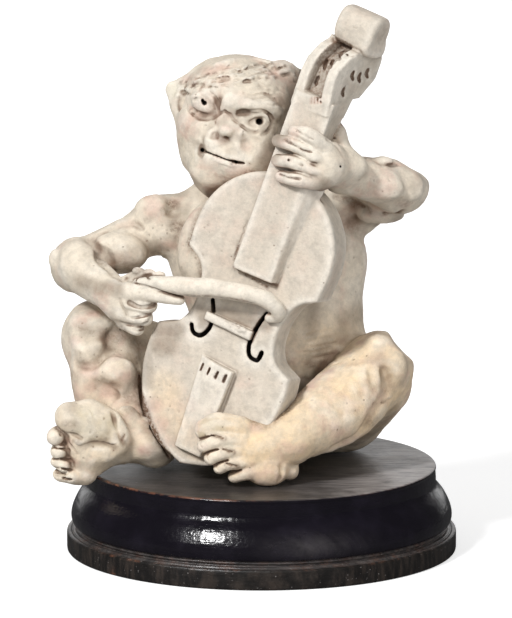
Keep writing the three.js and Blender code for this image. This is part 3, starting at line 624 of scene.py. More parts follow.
def paint_masks(piece, strokes, names, to_local=None, first=0.0):
    """Writes one mask for each name from strokes that fade with the distance to their lines."""
    points = co_of(piece)
    if to_local is not None:
        points = to_local(points)
    for name in names:
        mask = np.zeros(len(points)) + first
        for label, line, radius, strength in strokes:
            if label != name:
                continue
            boxed = (points > line.min(0) - radius) & (points < line.max(0) + radius)
            near = boxed.all(1).nonzero()[0]
            if not len(near):
                continue
            spot = points[near]
            gap = np.full(len(near), FAR_AWAY)
            for a, b in zip(line, line[1:]):
                d = b - a
                t = np.clip((spot - a) @ d / max(np.dot(d, d), 1e-9), 0, 1)
                gap = np.minimum(gap, np.linalg.norm(spot - a - np.outer(t, d), axis=1))
            share = np.clip(1.25 - 1.25 * gap / radius, 0, 1)
            mask[near] = np.maximum(mask[near], strength * share * share * (3 - 2 * share))
        write_mask(piece, name, mask)


def hollow_and_edge_masks(piece, clay, to_local=None):
    """Hollow is 1 deep in a crease, and proud is 1 on an edge or a knuckle."""
    points = co_of(piece)
    normals = each_point(piece.data.vertex_normals, "vector", len(points))
    if to_local is not None:
        points, normals = to_local(points, normals)
    hollow = 0.0
    proud = 0.0
    for reach, weight in HOLLOW_EDGE_REACHES:
        out = clay.sample(points + normals * reach)
        under = clay.sample(points - normals * reach)
        hollow = hollow + weight * np.clip(1 - out / reach, 0, 1.5)
        proud = proud + weight * np.clip((out + under) / reach, 0, 1)
    # The hollow mask darkens the clay both as dirt and as painted shade. The proud mask makes it paler.
    write_mask(piece, "hollow", hollow * HOLLOW_GAIN)
    write_mask(piece, "proud", proud * PROUD_GAIN)


# Body


def torso(clay):
    """Chest, belly, two seats, shoulders, neck and blades, with the lap filled behind the cello."""
    clay.blend(egg((1.8, 9, 71.5), (24.8, 14.5, 17.5)), 1)
    clay.blend(egg((4.4, 7.5, 54), (21.4, 16, 17)), 8)
    clay.blend(egg((-8, 17, 35), (15, 14, 13.3)), 7)
    clay.blend(egg((14, 17, 35), (15, 14, 13.3)), 7)
    clay.blend(limb((-20, 11, 80), (19, 12, 85), 7), 5)
    clay.blend(limb((-5, 9, 84), vec(HEAD_CENTRE) + vec(1, 4, -10), 8.5, 8.5), 4)
    clay.blend(limb((-21, 11, 83), (-13, 10, 89), 3.4, 3.8), 4)
    clay.blend(limb((24, 12, 87), (3, 10, 93), 4, 4), 4)
    for side in (-1, 1):
        clay.blend(egg((2 + side * 11, 18.5, 77), (8, 5, 9)), 5)
    clay.press(limb((1, 28, 86), (4, 28.5, 44), 3), 4)
    clay.blend(egg((-9, -3, 76), (11, 9, 13)), 4)
    clay.blend(egg((-6, -4, 57), (10, 9, 12)), 4)
    clay.blend(egg(CELLO.at(-13.5, 16, -5.4), (8.5, 12, 5), CELLO), 3)


def bow_arm(clay):
    """Shoulder, upper arm, bent elbow and forearm."""
    clay.blend(egg(BOW_SHOULDER, (7.6, 7.6, 7.2)), 3)
    clay.blend(limb(BOW_SHOULDER, BOW_ELBOW, 6, 5.2), 3)
    clay.blend(egg((-35.5, 5, 74), (7, 6, 5)), 2)
    clay.blend(egg(BOW_ELBOW, (5.6, 5.6, 6.4)), 2)
    clay.blend(limb((-46, 1, 71.4), BOW_WRIST, 6.2, 4.4), 3)
    clay.press(roll([(-37, -2, 79.5), (-33, -1.5, 80.6), (-29.5, 0, 80)], (0.7, 0.9, 0.7)), 1.5)


def bow_hand(clay):
    """A fist round the bow: the first finger lies along it and the thumb on top."""
    clay.blend(egg((-33.8, -13.2, 65), (5, 3.6, 5.8)), 3)
    clay.blend(roll([(-34, -15, 68), (-27, -18.4, 68.1), (-20.2, -20.4, 67)], (2.5, 2.1, 1.3)), 1)
    for root, bend, tip, radius in (
        ((-34, -15, 65.2), (-28.4, -17.2, 64.8), (-27.6, -13, 64.4), 2),
        ((-34.6, -14.6, 62.4), (-29.2, -16.6, 61.6), (-28.6, -12.6, 61.2), 1.9),
        ((-34.4, -13.6, 60), (-31, -14.8, 58.6), (-30.6, -12, 58.4), 1.7),
    ):
        clay.blend(roll([root, bend, tip], (radius, radius, radius * 0.9)), 0.7)
    clay.blend(roll([(-34.5, -11, 68.6), (-30, -13, 71.6), (-25.5, -15, 71.4)], (2.2, 1.6, 1.1)), 1)


def neck_arm(clay):
    """The raised arm, with its elbow out to the side."""
    clay.blend(egg(NECK_SHOULDER, (7.5, 8, 8)), 4)
    clay.blend(limb(NECK_SHOULDER, NECK_ELBOW, 6.6, 6), 3)
    clay.blend(egg((30.5, 7, 91.5), (5.5, 6.5, 6.2)), 2)
    clay.blend(egg(NECK_ELBOW, (6.5, 6.2, 6.2)), 2)
    clay.blend(limb((33.5, -5, 93), NECK_WRIST, 6.3, 4.6), 3)


def neck_hand(clay):
    """Four fingers across the board and the thumb behind it."""
    at = CELLO.at
    clay.blend(limb(NECK_WRIST, at(9, 46, -2), 4.6, 4.6), 3)
    clay.blend(egg(at(8.6, 46, -0.5), (3.4, 6.4, 4.4), CELLO), 2)
    for knuckle, bend, tip, radius in (
        ((7.4, 50.6), (3.4, 52.2), (-0.8, 51.4), 1.9),
        ((7.6, 47.4), (2, 48.6), (-3.7, 47.6), 2),
        ((7.8, 44.3), (2.6, 44.6), (-2.2, 43.2), 1.9),
        ((8, 41.6), (4.4, 40.8), (0.2, 39.9), 1.8),
    ):
        line = [at(*knuckle, 1.8), at(*bend, NECK_PROUD + 1.9), at(*tip, NECK_PROUD + 1.1)]
        clay.blend(roll(line, (radius * 1.1, radius, radius * 0.85)), 0.7)
    clay.blend(roll([at(9, 47, -6), at(6.8, 53, -6.5), at(4, 55, -7.5)], (3, 2.2, 1.8)), 1)


def bow_leg(clay):
    """The thigh comes forward to the knee and the shin drops to the foot."""
    clay.blend(limb(BOW_HIP, BOW_KNEE, 12, 7.4), 5)
    clay.blend(egg((-41.4, 4, 53.2), (7.8, 8, 7.6)), 3)
    clay.blend(limb(BOW_KNEE, BOW_ANKLE, 7.4, 6), 3)
    clay.blend(egg((-38, -0.5, 44), (7.4, 7, 9.5)), 3)
    clay.blend(limb((-40, 6, 50), (-24, 16, 33), 9, 9), 4)


def neck_leg(clay):
    """The folded leg that runs in under the cello."""
    clay.blend(limb(NECK_HIP, NECK_KNEE, 12.4, 7.4), 5)
    clay.blend(egg(NECK_KNEE, (7.2, 8, 7.8)), 3)
    clay.blend(roll([NECK_KNEE, NECK_CALF, NECK_ANKLE], (7.4, 9.6, 6.4)), 3)
    clay.blend(limb((28.5, -1, 42), (22, 14, 31), 9, 9), 4)


def foot(clay, axes, size, stretch, big_reach, small_reach):
    """Toes along x, the back of the foot along y, the big toe's side along z."""

    def at(t, d, m):
        return axes.at(t * size * stretch, d * size, m * size)

    def ball(t, d, m, radii, soft):
        clay.blend(egg(at(t, d, m), [r * size for r in radii], axes), soft)

    ball(-3.5, -4.4, -1, (6, 5, 6.2), 2)
    ball(4.5, -2.6, 0, (9, 5.4, 6.4), 3)
    ball(11.5, -4.2, 0.2, (6.2, 3.9, 9), 3)
    ball(12.5, -4.4, 5.4, (4.6, 3.8, 4.4), 2)
    clay.blend(roll([at(13, -4, 6.4), at(big_reach, -4.4, 6.6)], (3.6 * size, 3.5 * size)), 1)
    for m, shorter, radius in ((1.9, 0, 2.25), (-1.8, 0.8, 2.15), (-5.1, 2, 2.05), (-7.9, 3.8, 1.95)):
        reach = small_reach - shorter
        line = [at(12.5, -3.4, m), at(reach - 1.6, -2.8, m), at(reach, -4.6, m)]
        clay.blend(roll(line, (radius * size, radius * size, radius * 0.9 * size)), 0.6)


def bow_foot(hand):
    """The sole faces the viewer, with the big toe on top and the small toes in a column."""
    clay = hand.clay
    axes = Axes((-31.4, -8.5, 30.6), (-1, -0.3, 0), (0.1, 1, 0.05), -1)
    foot(clay, axes, 1.04, 1.06, 16.8, 20)
    lump, groove = hand.lump, hand.groove
    lump(-45.6, -27.7, (4, 3.3, 3.4), 1, -3)
    lump(-41, -27.3, (6, 3.9, 4), 2, -3.6)
    lump(-48.8, -38.2, (2.6, 1.8, 2), 0.5, -1.8)
    lump(-48.4, -41.4, (2.6, 1.8, 2), 0.5, -1.6)
    lump(-44, -41.6, (4, 2.4, 3), 2, -2)
    lump(-32, -26.6, (2.6, 2.4, 2), 1.5, -0.9)
    lump(-28, -34, (4.4, 3.4, 2.6), 2, -1.6)
    lump(-39, -33, (6.4, 4.4, 3), 4, -1.5)
    lump(-35.4, -30.4, (2.4, 4, 2.4), 3, -1.4, 15)
    hand.dent(-34.6, -31.6, (1.4, 3.4, 1), 3, 0.5, 10)
    hand.dent(-40, -36.4, (4, 3, 0.6), 2, 0.2)
    groove([(-48.8, -31.4), (-46, -31.3), (-44.6, -31.9), (-43.6, -32.4)], 0.4, 0.75, 0.5)
    groove([(-35.9, -25.9), (-35, -29.5), (-34, -32.3), (-32.8, -34)], 0.35, 0.45, 0.8)
    groove([(-33.6, -32.9), (-32.8, -31.3)], 0.22, 0.8)
    for h, left, right in (
        (-34.9, -51.2, -47), (-37.4, -50.9, -46.8), (-39.9, -50.4, -46.6), (-42.3, -49.6, -46.4),
    ):
        groove([(left, h + 0.2), ((left + right) / 2, h), (right, h - 0.3)], 0.26, 0.7, 0.3)
        hand.slit([((left + right) / 2, h), (right + 0.4, h - 0.3)], 0.13, 0.6, "stain", 0.4, 0.25)
    for h in (-40.9, -41.5):
        groove([(-50.6, h), (-47.8, h - 0.2)], 0.13, 0.35)
    groove([(-46.8, -33.6), (-45.4, -35.2), (-44.6, -36.2)], 0.26, 0.5)
    groove([(-41.5, -25.1), (-40.6, -27.4)], 0.16, 0)


def neck_foot(hand):
    """It comes forward over the end of the cello, with the toes towards the bow side."""
    clay = hand.clay

    def toe(places, radii):
        clay.blend(roll([hand.at(*p) for p in places], radii), 0.7)

    def ball(place, radii, soft):
        clay.blend(egg(hand.at(*place), radii, SHEET), soft)

    ball((3.6, -33.6, 19), (8.4, 6.4, 6), 3)
    ball((-2.4, -34.6, 20), (6, 7.2, 5), 2.5)
    ball((2.8, -40.4, 20.2), (5.4, 3.9, 4), 2)
    ball((8.4, -40.2, 17.6), (2.3, 2.6, 3), 1)
    toe([(-4, -30.2, 22), (-9, -29, 23.6), (-12.6, -30.2, 24)], (3.3, 3.1, 2.7))
    toe([(-4, -33, 23.4), (-9.5, -32.8, 25.6), (-13, -34.2, 25)], (2.2, 2.1, 1.8))
    toe([(-3, -35.6, 23), (-8.2, -35.8, 25.3), (-11.3, -37.3, 24.6)], (2.1, 2, 1.7))
    toe([(-1.5, -38, 22.4), (-6.2, -38.4, 24.3), (-9, -39.7, 23.6)], (2, 1.9, 1.6))
    toe([(1, -40.2, 21.4), (-2.8, -41, 22.4), (-5.4, -41.9, 21.8)], (2.1, 1.9, 1.6))
    for x, h in ((-9.3, -32), (-7, -35.4), (-6, -39)):
        line = [(x - 1.3, h + 0.35), (x, h), (x + 1.1, h - 0.3)]
        hand.slit(line, (0.12, 0.18, 0.1), 0.5, "stain", 0.6, 0.2)
        hand.tint("stain", [(x - 1.4, h + 0.3), (x + 1.4, h - 0.4)], 1.2, 0.6)
    for x, h in ((-12.4, -32.2), (-11.2, -35.6), (-8.8, -38.3), (-5.6, -40.6)):
        hand.slit([(x - 1.6, h - 0.5), (x, h + 0.1), (x + 1.8, h + 0.5)], 0.15, 0.8, "stain", 0.55)
    for x, h in ((-14.6, -30.4), (-13.6, -33.8), (-12, -37), (-9.6, -39.4)):
        hand.groove([(x, h + 0.9), (x - 0.4, h), (x + 0.2, h - 0.8)], 0.15, 0.4)
    hand.groove([(6.2, -39.4), (6.4, -41.4), (5.8, -43)], 0.4, 0.6, 0.8)


def bow_side(hand):
    """Muscle, creases and the play of the skin on the bow arm, its hand and the leg below."""
    lump, dent, groove = hand.lump, hand.dent, hand.groove
    lump(-25.6, 25.2, (4.6, 3.4, 3), 2.5, -1)
    dent(-20.8, 26, (1.2, 2.2, 1.4), 2.5, 0.4)
    lump(-33.8, 14.6, (6.4, 4.2, 3.4), 2, -1.9, -15)
    lump(-44.2, 11.4, (4.6, 6, 3.4), 2.5, -2.2, 20)
    lump(-50.2, 12.6, (1.6, 2.2, 1.6), 1.5, -0.9)
    groove([(-40.6, 17.9), (-36.3, 19.8), (-33.4, 21.1), (-30.4, 21.3), (-28.7, 20.2)], 0.4, 0.3, 1.2)
    groove([(-41.8, 17.3), (-39.9, 14.8), (-39.2, 12.4), (-36.3, 9.5), (-33, 7.4)], 0.7, 0.3, 1.6, 0, 0.9)
    dent(-37.6, 12.6, (1.6, 2.6, 1), 1.5, 0.2, 20)
    hand.hole(-33.2, 15.5, 0.22, 0.2, 0.5, 0.5)
    for x, h in ((-29.4, 9.5), (-26.8, 9.2), (-24.2, 8.5)):
        lump(x, h, (1.5, 0.9, 1.1), 0.5, 0)
    groove([(-32.6, 7.6), (-30.2, 7), (-28.4, 7.9), (-26.6, 7.5)], 0.3, 0.9)
    groove([(-30.9, 6.6), (-28, 5.9), (-24.9, 5), (-22, 4.1), (-19, 3.4)], 0.28, 0.9, 0.3, 0.1)
    groove([(-31.7, 1.5), (-29.2, 0.4), (-27, 0.5), (-25.4, 1)], 0.5, 0.75, 0.5, 0.2)
    groove([(-34.2, 2.3), (-32.5, -0.9), (-31.5, -2.3), (-27.5, -1.6), (-25.2, -0.7)], 0.32, 0.5)
    groove([(-33.4, -3.4), (-31.5, -4), (-28.7, -4), (-26.6, -2.8)], 0.3, 0.45)
    groove([(-31.4, -5), (-29.6, -5.4), (-28, -4.9)], 0.22, 0.4)
    lump(-42, -18.4, (3.8, 8, 5), 4, -4)
    lump(-35.2, -16.4, (5.2, 5.4, 4), 1.5, -2.2, 20)
    crease = [
        (-44.6, -13.8), (-42, -14.2), (-39.5, -13.2), (-37.7, -11.2), (-35, -10.4), (-31.8, -11.6),
        (-29.2, -15),
    ]
    groove(crease, (0.4, 0.5, 0.8, 0.9, 0.9, 0.8, 0.6), 0.3, 2, 0, 0.9)
    lump(-43.6, -3.8, (2.8, 2.8, 2), 3, -1.5)
    lump(-38.8, -4.6, (2.6, 2.8, 2), 3, -1.7)
    lump(-41.6, -9.6, (3.2, 2.6, 2), 3, -1.5)
    lump(-36, -15.8, (2, 2, 1.4), 2.5, -0.9)
    dent(-41.4, -6.4, (1.6, 0.9, 0.6), 2.5, 0.3, 20)
    dent(-33.6, -7.6, (3.6, 2.6, 1), 3, 0.5)
    dent(-38.4, -21, (2.6, 1.6, 0.7), 3.5, 0.5)
    hand.dabs("pink", 0.8, (
        (-37.2, -20.5, 3.6, 0.6), (-41.8, -15.4, 3, 0.6), (-44, -3.2, 2.6, 0.6), (-40.6, -1.2, 2, 0.7),
        (-25.9, 24.4, 3, 0.35), (-33, 21, 2.4, 0.45), (-22, 15.8, 2.6, 0.5), (-34, 12.5, 2.6, 0.35),
        (-45.6, -39, 2.4, 0.4), (-47.6, -33.4, 1.8, 0.6), (-27.6, -35.4, 2.2, 0.8),
        (-34, -23.6, 2.6, 0.5), (-45.4, -8, 2, 0.5), (-41.4, -19.6, 2.4, 0.5), (-34.6, -12, 2.4, 0.5),
        (-32, -17, 2.4, 0.4), (-44.6, -22, 2, 0.4),
    ))
    # Stains. The two broad dabs by the knee, at radius 4 and 3.6, also darken its shaded side as painted
    # shade.
    hand.dabs("stain", 0.6, (
        (-43.1, -5, 1.2, 0.5), (-41, -5.8, 1, 0.4), (-44.6, -11.4, 1, 0.45), (-43.4, -12.6, 0.8, 0.4),
        (-35, -7, 4, 0.38), (-30, -8.6, 3.6, 0.42), (-36.4, -9.6, 2, 0.3), (-31.6, -25, 2, 0.35),
        (-21.2, 26, 2.2, 0.7), (-27, 22.4, 1.2, 0.4), (-22.4, 24.4, 1.8, 0.6), (-19.6, 20.8, 2.6, 0.6),
        (-20.4, 18, 1.2, 0.4), (-38.6, 11.6, 2.2, 0.4), (-36.2, 13.4, 1.2, 0.3), (-34, -31.8, 1.6, 0.35),
        (-45, -33, 1.2, 0.4),
    ))
    hand.dabs("olive", 1, (
        (-42.5, -26.6, 4, 0.4), (-39.5, -31, 4.4, 0.4), (-36.6, -28.4, 3.4, 0.4), (-43, -30, 2.4, 0.4),
    ))
    hand.dabs("stain", 1.2, (
        (-25, -36.4, 3, 0.25), (-21.4, -39.6, 2.4, 0.4), (-32, -41.4, 2.6, 0.25), (-30.6, 9.4, 4, 0.45),
        (-34.6, 11, 3, 0.4), (-26, 13, 3, 0.3), (-46, -17, 2.4, 0.3), (-29, -18, 4, 0.45),
        (-31, -22, 3, 0.4), (-46.6, -28.8, 1.6, 0.4),
    ))
    # Painted shadow along the lower edge of the bow.
    hand.tint("stain", [(-19.6, 3.6), (-17, 3.4), (-12, 3.2), (-6, 2.6), (-1, 1.5)], 0.7, 0.65)
    # A cut along the cello's edge where the leg meets it, with dirt and painted shade in it.
    edge = [
        (-29.3, -17), (-28.9, -21.6), (-27.6, -26.6), (-25.4, -31), (-22.6, -35.6), (-19.6, -39),
        (-17, -41.4),
    ]
    hand.slit(edge, 0.4, 1.6, "stain", 1, 0.6)


def neck_side(hand):
    """The same for the neck arm, its hand, the flank and the other leg."""
    lump, dent, groove = hand.lump, hand.dent, hand.groove
    hand.clay.press(egg(hand.at(41.6, 38.8, 8.7), (9, 4.6, 14), hand.turned(-27)), 2.6)
    hand.clay.press(egg(hand.at(38.6, -7.4, 8), (7, 4, 14), hand.turned(-50)), 1.2)
    lump(31.8, 36.7, (2.6, 1.5, 2), 0.8, -0.8)
    groove([(29.6, 37), (31.4, 35.8), (34, 35.9), (35.4, 36.2)], 0.3, 0.3, 1.2)
    lump(31, 31.4, (6, 3.4, 2.4), 3, -1.6, -20)
    lump(23.6, 36.4, (4.4, 2.8, 2.4), 4, -1.9, -20)
    lump(38.6, 30.4, (3, 3.2, 2), 2, -1.2)
    groove([(20, 28), (23.5, 27.2), (28.2, 25.2), (31.9, 24.1), (36.7, 24.5)], 0.35, 0.5, 1.2, 0, 1)
    lump(31.4, 23.4, (5.4, 1.8, 3), 3, -1.5)
    hand.hole(21.1, 35.6, 0.26, 0.26, 0.6)
    # Painted shade: black along the gaps between the fingers.
    for line in (
        [(7.4, 42.1), (9.8, 40.9), (11.9, 39.7), (13.9, 39.2)],
        [(5.4, 38.9), (8.2, 37.2), (11.6, 35.9)],
        [(6, 33.8), (8.2, 32.9), (11.1, 32.5)],
    ):
        groove(line, (0.26, *[0.22] * (len(line) - 2), 0.32), 1, 0.6, 0.25)
        hand.tint("black", line, 0.4, 0.45)
    groove([(9.6, 45.3), (11.8, 43.4), (14.4, 42.4)], 0.22, 0.6)
    groove([(17.6, 42.3), (19.6, 41.2), (21.4, 39), (21.8, 38.3)], 0.25, 0.6)
    groove([(18.4, 43.2), (20, 42.4), (20.8, 41)], 0.2, 0.6)
    for x, h in ((14.6, 37.8), (14.2, 34.6)):
        lump(x, h, (1.6, 0.9, 0.8), 1, -0.3, -15)
    lump(30.4, -8.8, (3, 2.4, 2.4), 1.5, -1.3)
    lump(34.4, -14.5, (3, 3.6, 2.4), 2.5, -1.6)
    lump(26.4, -18, (5, 3.4, 2.4), 3, -1.8, 40)
    groove(
        [(32.1, -15.9), (32.4, -20.7), (30.4, -24.2), (28.7, -26.9), (25.2, -31.8), (19.7, -34.7)], 0.5,
        0.22, 2.4,
    )
    groove([(16.9, -15.3), (19, -14.1), (21.2, -13.1)], 0.3, 0.65, 0.5)
    groove([(17.8, -14.3), (20.4, -12.9)], 0.22, 0.5)
    groove([(29.3, -23.6), (31.6, -23.4), (33.8, -22.6)], 0.2, 0.3, 0.5)
    dent(29.4, -17, (1, 3, 0.6), 1.5, 0.1, 10)
    for x, h in ((12.4, -8.2), (13.6, -9.6), (11.8, -11), (14.2, -12.2), (12.6, -6.4)):
        groove([(x, h), (x + 3, h + 0.5), (x + 6.4, h + 1.2)], 0.18, 0.14, 0.6)
    hand.dabs("pink", 0.6, (
        (14, -19.2, 1.6, 0.7), (18, -15.6, 1.8, 0.7), (22.6, -11, 1.8, 0.6), (26, -8.4, 1.6, 0.5),
        (30, -13, 3, 0.35), (36, 36, 1.8, 0.5), (33.6, 36.6, 1.4, 0.6), (25, 25.6, 2.4, 0.6),
        (29, 24, 2, 0.5), (37, 26, 2, 0.3), (6.4, 42, 1.4, 0.6), (9.6, 44, 1.2, 0.5),
        (0, -29.6, 2.4, 0.5), (24, -33, 2.6, 0.3), (8, 37.6, 1.3, 0.4),
    ))
    hand.dabs("stain", 0.6, (
        (24.6, 26.2, 1.6, 0.5), (28, 24.6, 1.4, 0.45), (31.4, 36, 1, 0.5), (7.6, 42.4, 0.8, 0.5),
        (22, 27.4, 1.5, 0.5), (28, -35.6, 4, 0.55), (33, -33, 3, 0.5), (14, -14, 2, 0.4),
        (12.6, -17, 1.4, 0.5), (17, -10, 3, 0.3), (36.6, 26.4, 3, 0.35), (32.6, -20, 2.4, 0.3),
        (29, -28, 3, 0.35), (21, -36, 3, 0.35), (24, 20, 3, 0.3),
    ))
    hand.dabs("olive", 0.6, (
        (-12, -28.6, 2.6, 0.45), (-9.6, -30, 2, 0.45), (-13.4, -31.4, 1.6, 0.45), (-7, -34, 1.4, 0.45),
    ))


FIGURE_PITS = (
    (-24, 17, 4.5, 8, 30), (-14, 14, 5, 10, 8), (-38, -8, 7, 10, 24), (-36, 14, 9, 6, 6), (30, 30, 9, 5, 6),
    (22, -22, 10, 9, 8), (-40, -34, 8, 7, 8), (-12, 48, 8, 12, 5), (26, 5, 4, 14, 6), (-31, -10, 5, 8, 14),
)
CELLO_PITS = (
    (-14, 20, 5, 10, 14), (0, 14, 5, 14, 5), (8, 15, 5, 10, 6), (-20, -20, 8, 9, 12), (-4, -14, 6, 8, 4),
    (5, -16, 6, 9, 4), (22, 54, 6, 8, 2),
)


def skull(clay):
    """Crown, brow, jaw, cheeks and chin in the frame of the head."""
    def lump(r, f, u, radii, soft):
        clay.blend(egg(HEAD.at(r, f, u), radii, HEAD), soft)

    lump(0.2, -2, 0.6, (14.8, 14.6, 13.4), 4)
    lump(-0.3, 4.6, 4, (12.6, 8.8, 8.6), 4)
    lump(-1.4, 4.5, -7.4, (11.2, 8.4, 8.4), 4)
    lump(-7, 6, -3.6, (5.6, 5.6, 5.4), 3)
    lump(8.2, 7.4, -3, (4.6, 4.8, 4.4), 3)
    lump(-5.4, 4.4, -12, (4.8, 5.4, 5.4), 3)
    lump(6.4, 5, -9.8, (4.8, 5.4, 5.6), 3)
    lump(-0.4, 8.4, -14.6, (5, 4.4, 5), 3.5)
    lump(0.2, 5.6, -17.4, (4.6, 4.6, 3.6), 3)
    lump(1.4, 8.8, -7, (6.8, 4.4, 4.6), 4.5)


def ear(clay):
    """The ear is drawn out to a point and runs into the temple."""
    at = SHEET.at
    clay.blend(egg(at(4.6, 55.2, 5), (7, 6, 6.5), SHEET), 3)
    clay.blend(roll([at(-20.6, 55.2, 5), at(-15.4, 57, 6.5), at(-11, 59, 7)], (1.5, 2.3, 3)), 2)
    clay.blend(roll([at(-21, 54.6, 5), at(-19.4, 50.6, 6), at(-17.6, 46.6, 7)], (1.3, 2, 2.4)), 1.5)
    clay.blend(egg(at(-15.6, 51, 7), (4, 5, 4), SHEET), 2.5)
    clay.press(egg(at(-18.2, 52.2, 10.4), (1.5, 3, 1.6), SHEET), 1.5)


def face(hand):
    """Sockets and eyes, nose, mouth, wrinkles, and their colours and painted shade, in that order."""
    ridge, groove, lump, dent, hole = hand.ridge, hand.groove, hand.lump, hand.dent, hand.hole
    dent(-11.4, 50.6, (3.4, 2, 0.5), 3, 0.2, -28)
    dent(-14.6, 49.2, (3, 1, 0.4), 2, 0.2, 5)
    dent(0.2, 47, (4.4, 2.3, 0.9), 2, 0.3, 4)
    lump(-13, 51.9, (3.3, 2.4, 1.6), 1.6, -0.6, -28)
    lump(0.5, 46.7, (3.4, 2.2, 2.4), 0.6, -1.8, 2)
    ridge(
        [(-15.2, 53.2), (-13.9, 54.3), (-12.1, 53.6), (-10.8, 52.1), (-10.1, 50.5)],
        (0.4, 0.5, 0.55, 0.5, 0.3), 0.9,
    )
    ridge(
        [(-3.5, 46.9), (-1.9, 47.8), (0.5, 48.6), (2.5, 48.2), (3.6, 46.6)], (0.4, 0.55, 0.6, 0.55, 0.4),
        0.35, 0.3,
    )
    ridge([(-3, 45.9), (-0.9, 44.9), (1.6, 44.9), (3.4, 46)], (0.35, 0.4, 0.45, 0.35), 0.4, 0.2)
    ridge([(-5.4, 50.9), (-2.6, 51.3), (0.2, 51), (3, 50.7), (5.4, 49)], (0.7, 1, 1.1, 1, 0.7), 2.4, -0.1)
    lump(-2.6, 48.5, (2.3, 0.7, 0.9), 0.7, -0.2, 8)
    crease = [(-4.9, 49.5), (-3.1, 49.3), (-1, 49.6), (1.1, 49.8), (2.8, 49.1), (4.1, 47.4)]
    groove(crease, (0.2, 0.22, 0.18, 0.18, 0.22, 0.2), 0.2, 0.5, 0.1, 0.1)
    groove([(-5.6, 48.2), (-4.4, 48.9), (-3, 49.1)], 0.5, 0.3, 1.5, 0, 0.6)
    hole(-12.9, 51.5, 0.62, 0.55, 1.7)
    hole(-13.35, 52.1, 0.3, 0.5, 1.4)
    hole(0.8, 46.8, 1.0, 0.9, 2.0)
    hole(0.3, 46.9, 0.6, 0.65, 1.6)
    ridge([(1.8, 45.9), (2.4, 46.8), (1.9, 47.7)], 0.28, 0.3)
    groove([(-3.3, 46.25), (-1.8, 46.5)], 0.22, 1, 0.2, 0, 0.15)
    groove([(-10.5, 51), (-10.2, 50)], 0.2, 0.4, 0.4)
    ridge([(-6.8, 51.2), (-7.5, 49.2), (-7.8, 47), (-7.5, 45.2)], (1, 1, 1.3, 1.6), 2.6, 0)
    lump(-7.2, 44.6, (1.9, 1.5, 1.5), 1.6, 0.1)
    lump(-10.2, 43.4, (1.8, 1.4, 1.1), 1.6, -0.2)
    lump(-4.3, 43.8, (2, 1.6, 1.3), 1.8, -0.3)
    lump(-4.6, 46.4, (1.6, 2.4, 1), 2.5, -0.5, 25)
    hand.slit([(-7.6, 43), (-6.4, 42.4), (-5, 41.9)], (0.25, 0.35, 0.25), 0.7, "stain", 1, 0.5)
    hand.tint("stain", [(-7.4, 42.4), (-4.6, 41.6)], 1.3, 0.55)
    groove([(-3.2, 43.4), (-2.6, 42), (-3, 40.8)], 0.35, 0.3, 1)
    groove([(-11, 43.7), (-10.3, 44.1), (-9.7, 43.6), (-9.5, 42.7)], 0.2, 0.7, 0.5)
    dent(-9, 42, (3, 0.7, 0.4), 1.4, 0.1, -18)
    lump(-8.4, 40.2, (3.6, 1.3, 0.8), 3, -0.7, -18)
    lump(-3.4, 38.6, (3.4, 1.5, 0.8), 4, -0.9, -12)
    lump(-0.6, 40.6, (3, 3, 2), 5, -1.8)
    lump(-8.6, 36.9, (3.6, 1, 0.7), 2.4, -0.5, -16)
    mouth = [
        (-13.3, 39.7), (-12.1, 39.2), (-9.7, 38.3), (-7.4, 37.4), (-5, 36.8), (-2.9, 36.5), (-1.6, 36.3),
    ]
    lump(-0.6, 35.4, (6, 4, 3), 5, -2)
    lump(-12.4, 35.2, (3.4, 3, 2), 4, -1.4)
    # The mouth's slit is painted black inside as painted shade.
    hand.slit(mouth[:6], (0.35, 0.12, 0.13, 0.16, 0.26, 0.1), 1.6, "black", 1, 0.02)
    groove(mouth[4:], (0.26, 0.2, 0.14), 0.9, 0.2, 0.1, 0.2)
    groove([(-13.6, 40.6), (-14.2, 39.6), (-13.8, 38.6)], 0.3, 0.4, 0.9)
    hand.ridge([(-10.4, 37.4), (-8, 36.5), (-5.6, 35.9)], 0.35, 0.5, -0.1)
    hand.tint("stain", mouth[1:], 0.9, 0.4)
    hole(-13.35, 39.75, 0.5, 0.5, 1.3)
    hole(-5, 36.9, 0.65, 0.5, 1.4)
    lump(-6.2, 36.5, (0.35, 0.3, 0.4), 0.2, 0.3)
    bridge = [(-15.6, 48.5), (-14.2, 47.6), (-12.1, 47.3), (-10.5, 47.8), (-9.2, 48.8), (-7.75, 49.5)]
    groove(bridge, 0.24, 0.8, 0.4, 0, 0.15)
    groove(
        [(-7.75, 49.5), (-6.4, 48.5), (-5.6, 47.4), (-4.2, 46.3), (-2.5, 45.2), (-0.65, 44.3)], 0.22,
        0.7, 0.4,
    )
    groove([(-3.6, 45.8), (-2.2, 44.7), (-0.4, 44.2), (1.8, 44.6)], 0.2, 0.6, 0.5)
    groove([(-17.4, 51.4), (-17, 49.6), (-15.6, 48.5)], 0.2, 0.6, 0.4)
    groove([(-16.6, 49.8), (-15.4, 50.2), (-14.6, 49.4)], 0.18, 0.7, 0.3)
    groove([(3.4, 48.6), (3.9, 46.8), (3.2, 44.8), (1.6, 43.6)], 0.2, 0.35, 0.8)
    groove([(-3.2, 41.6), (-1, 42.4), (1.2, 42.2)], 0.2, 0.25, 0.8)
    groove([(-16.1, 55.3), (-15.5, 56.8), (-13.9, 57.9), (-12.4, 58.4), (-10.1, 58.3)], 0.2, 0.55)
    groove([(-15.6, 52), (-14.9, 53), (-15.1, 54.1), (-13.8, 54.5)], (0.25, 0.2, 0.2, 0.2), 0.9)
    dent(-1.6, 41.4, (1.4, 2, 0.5), 1.6, 0.2)
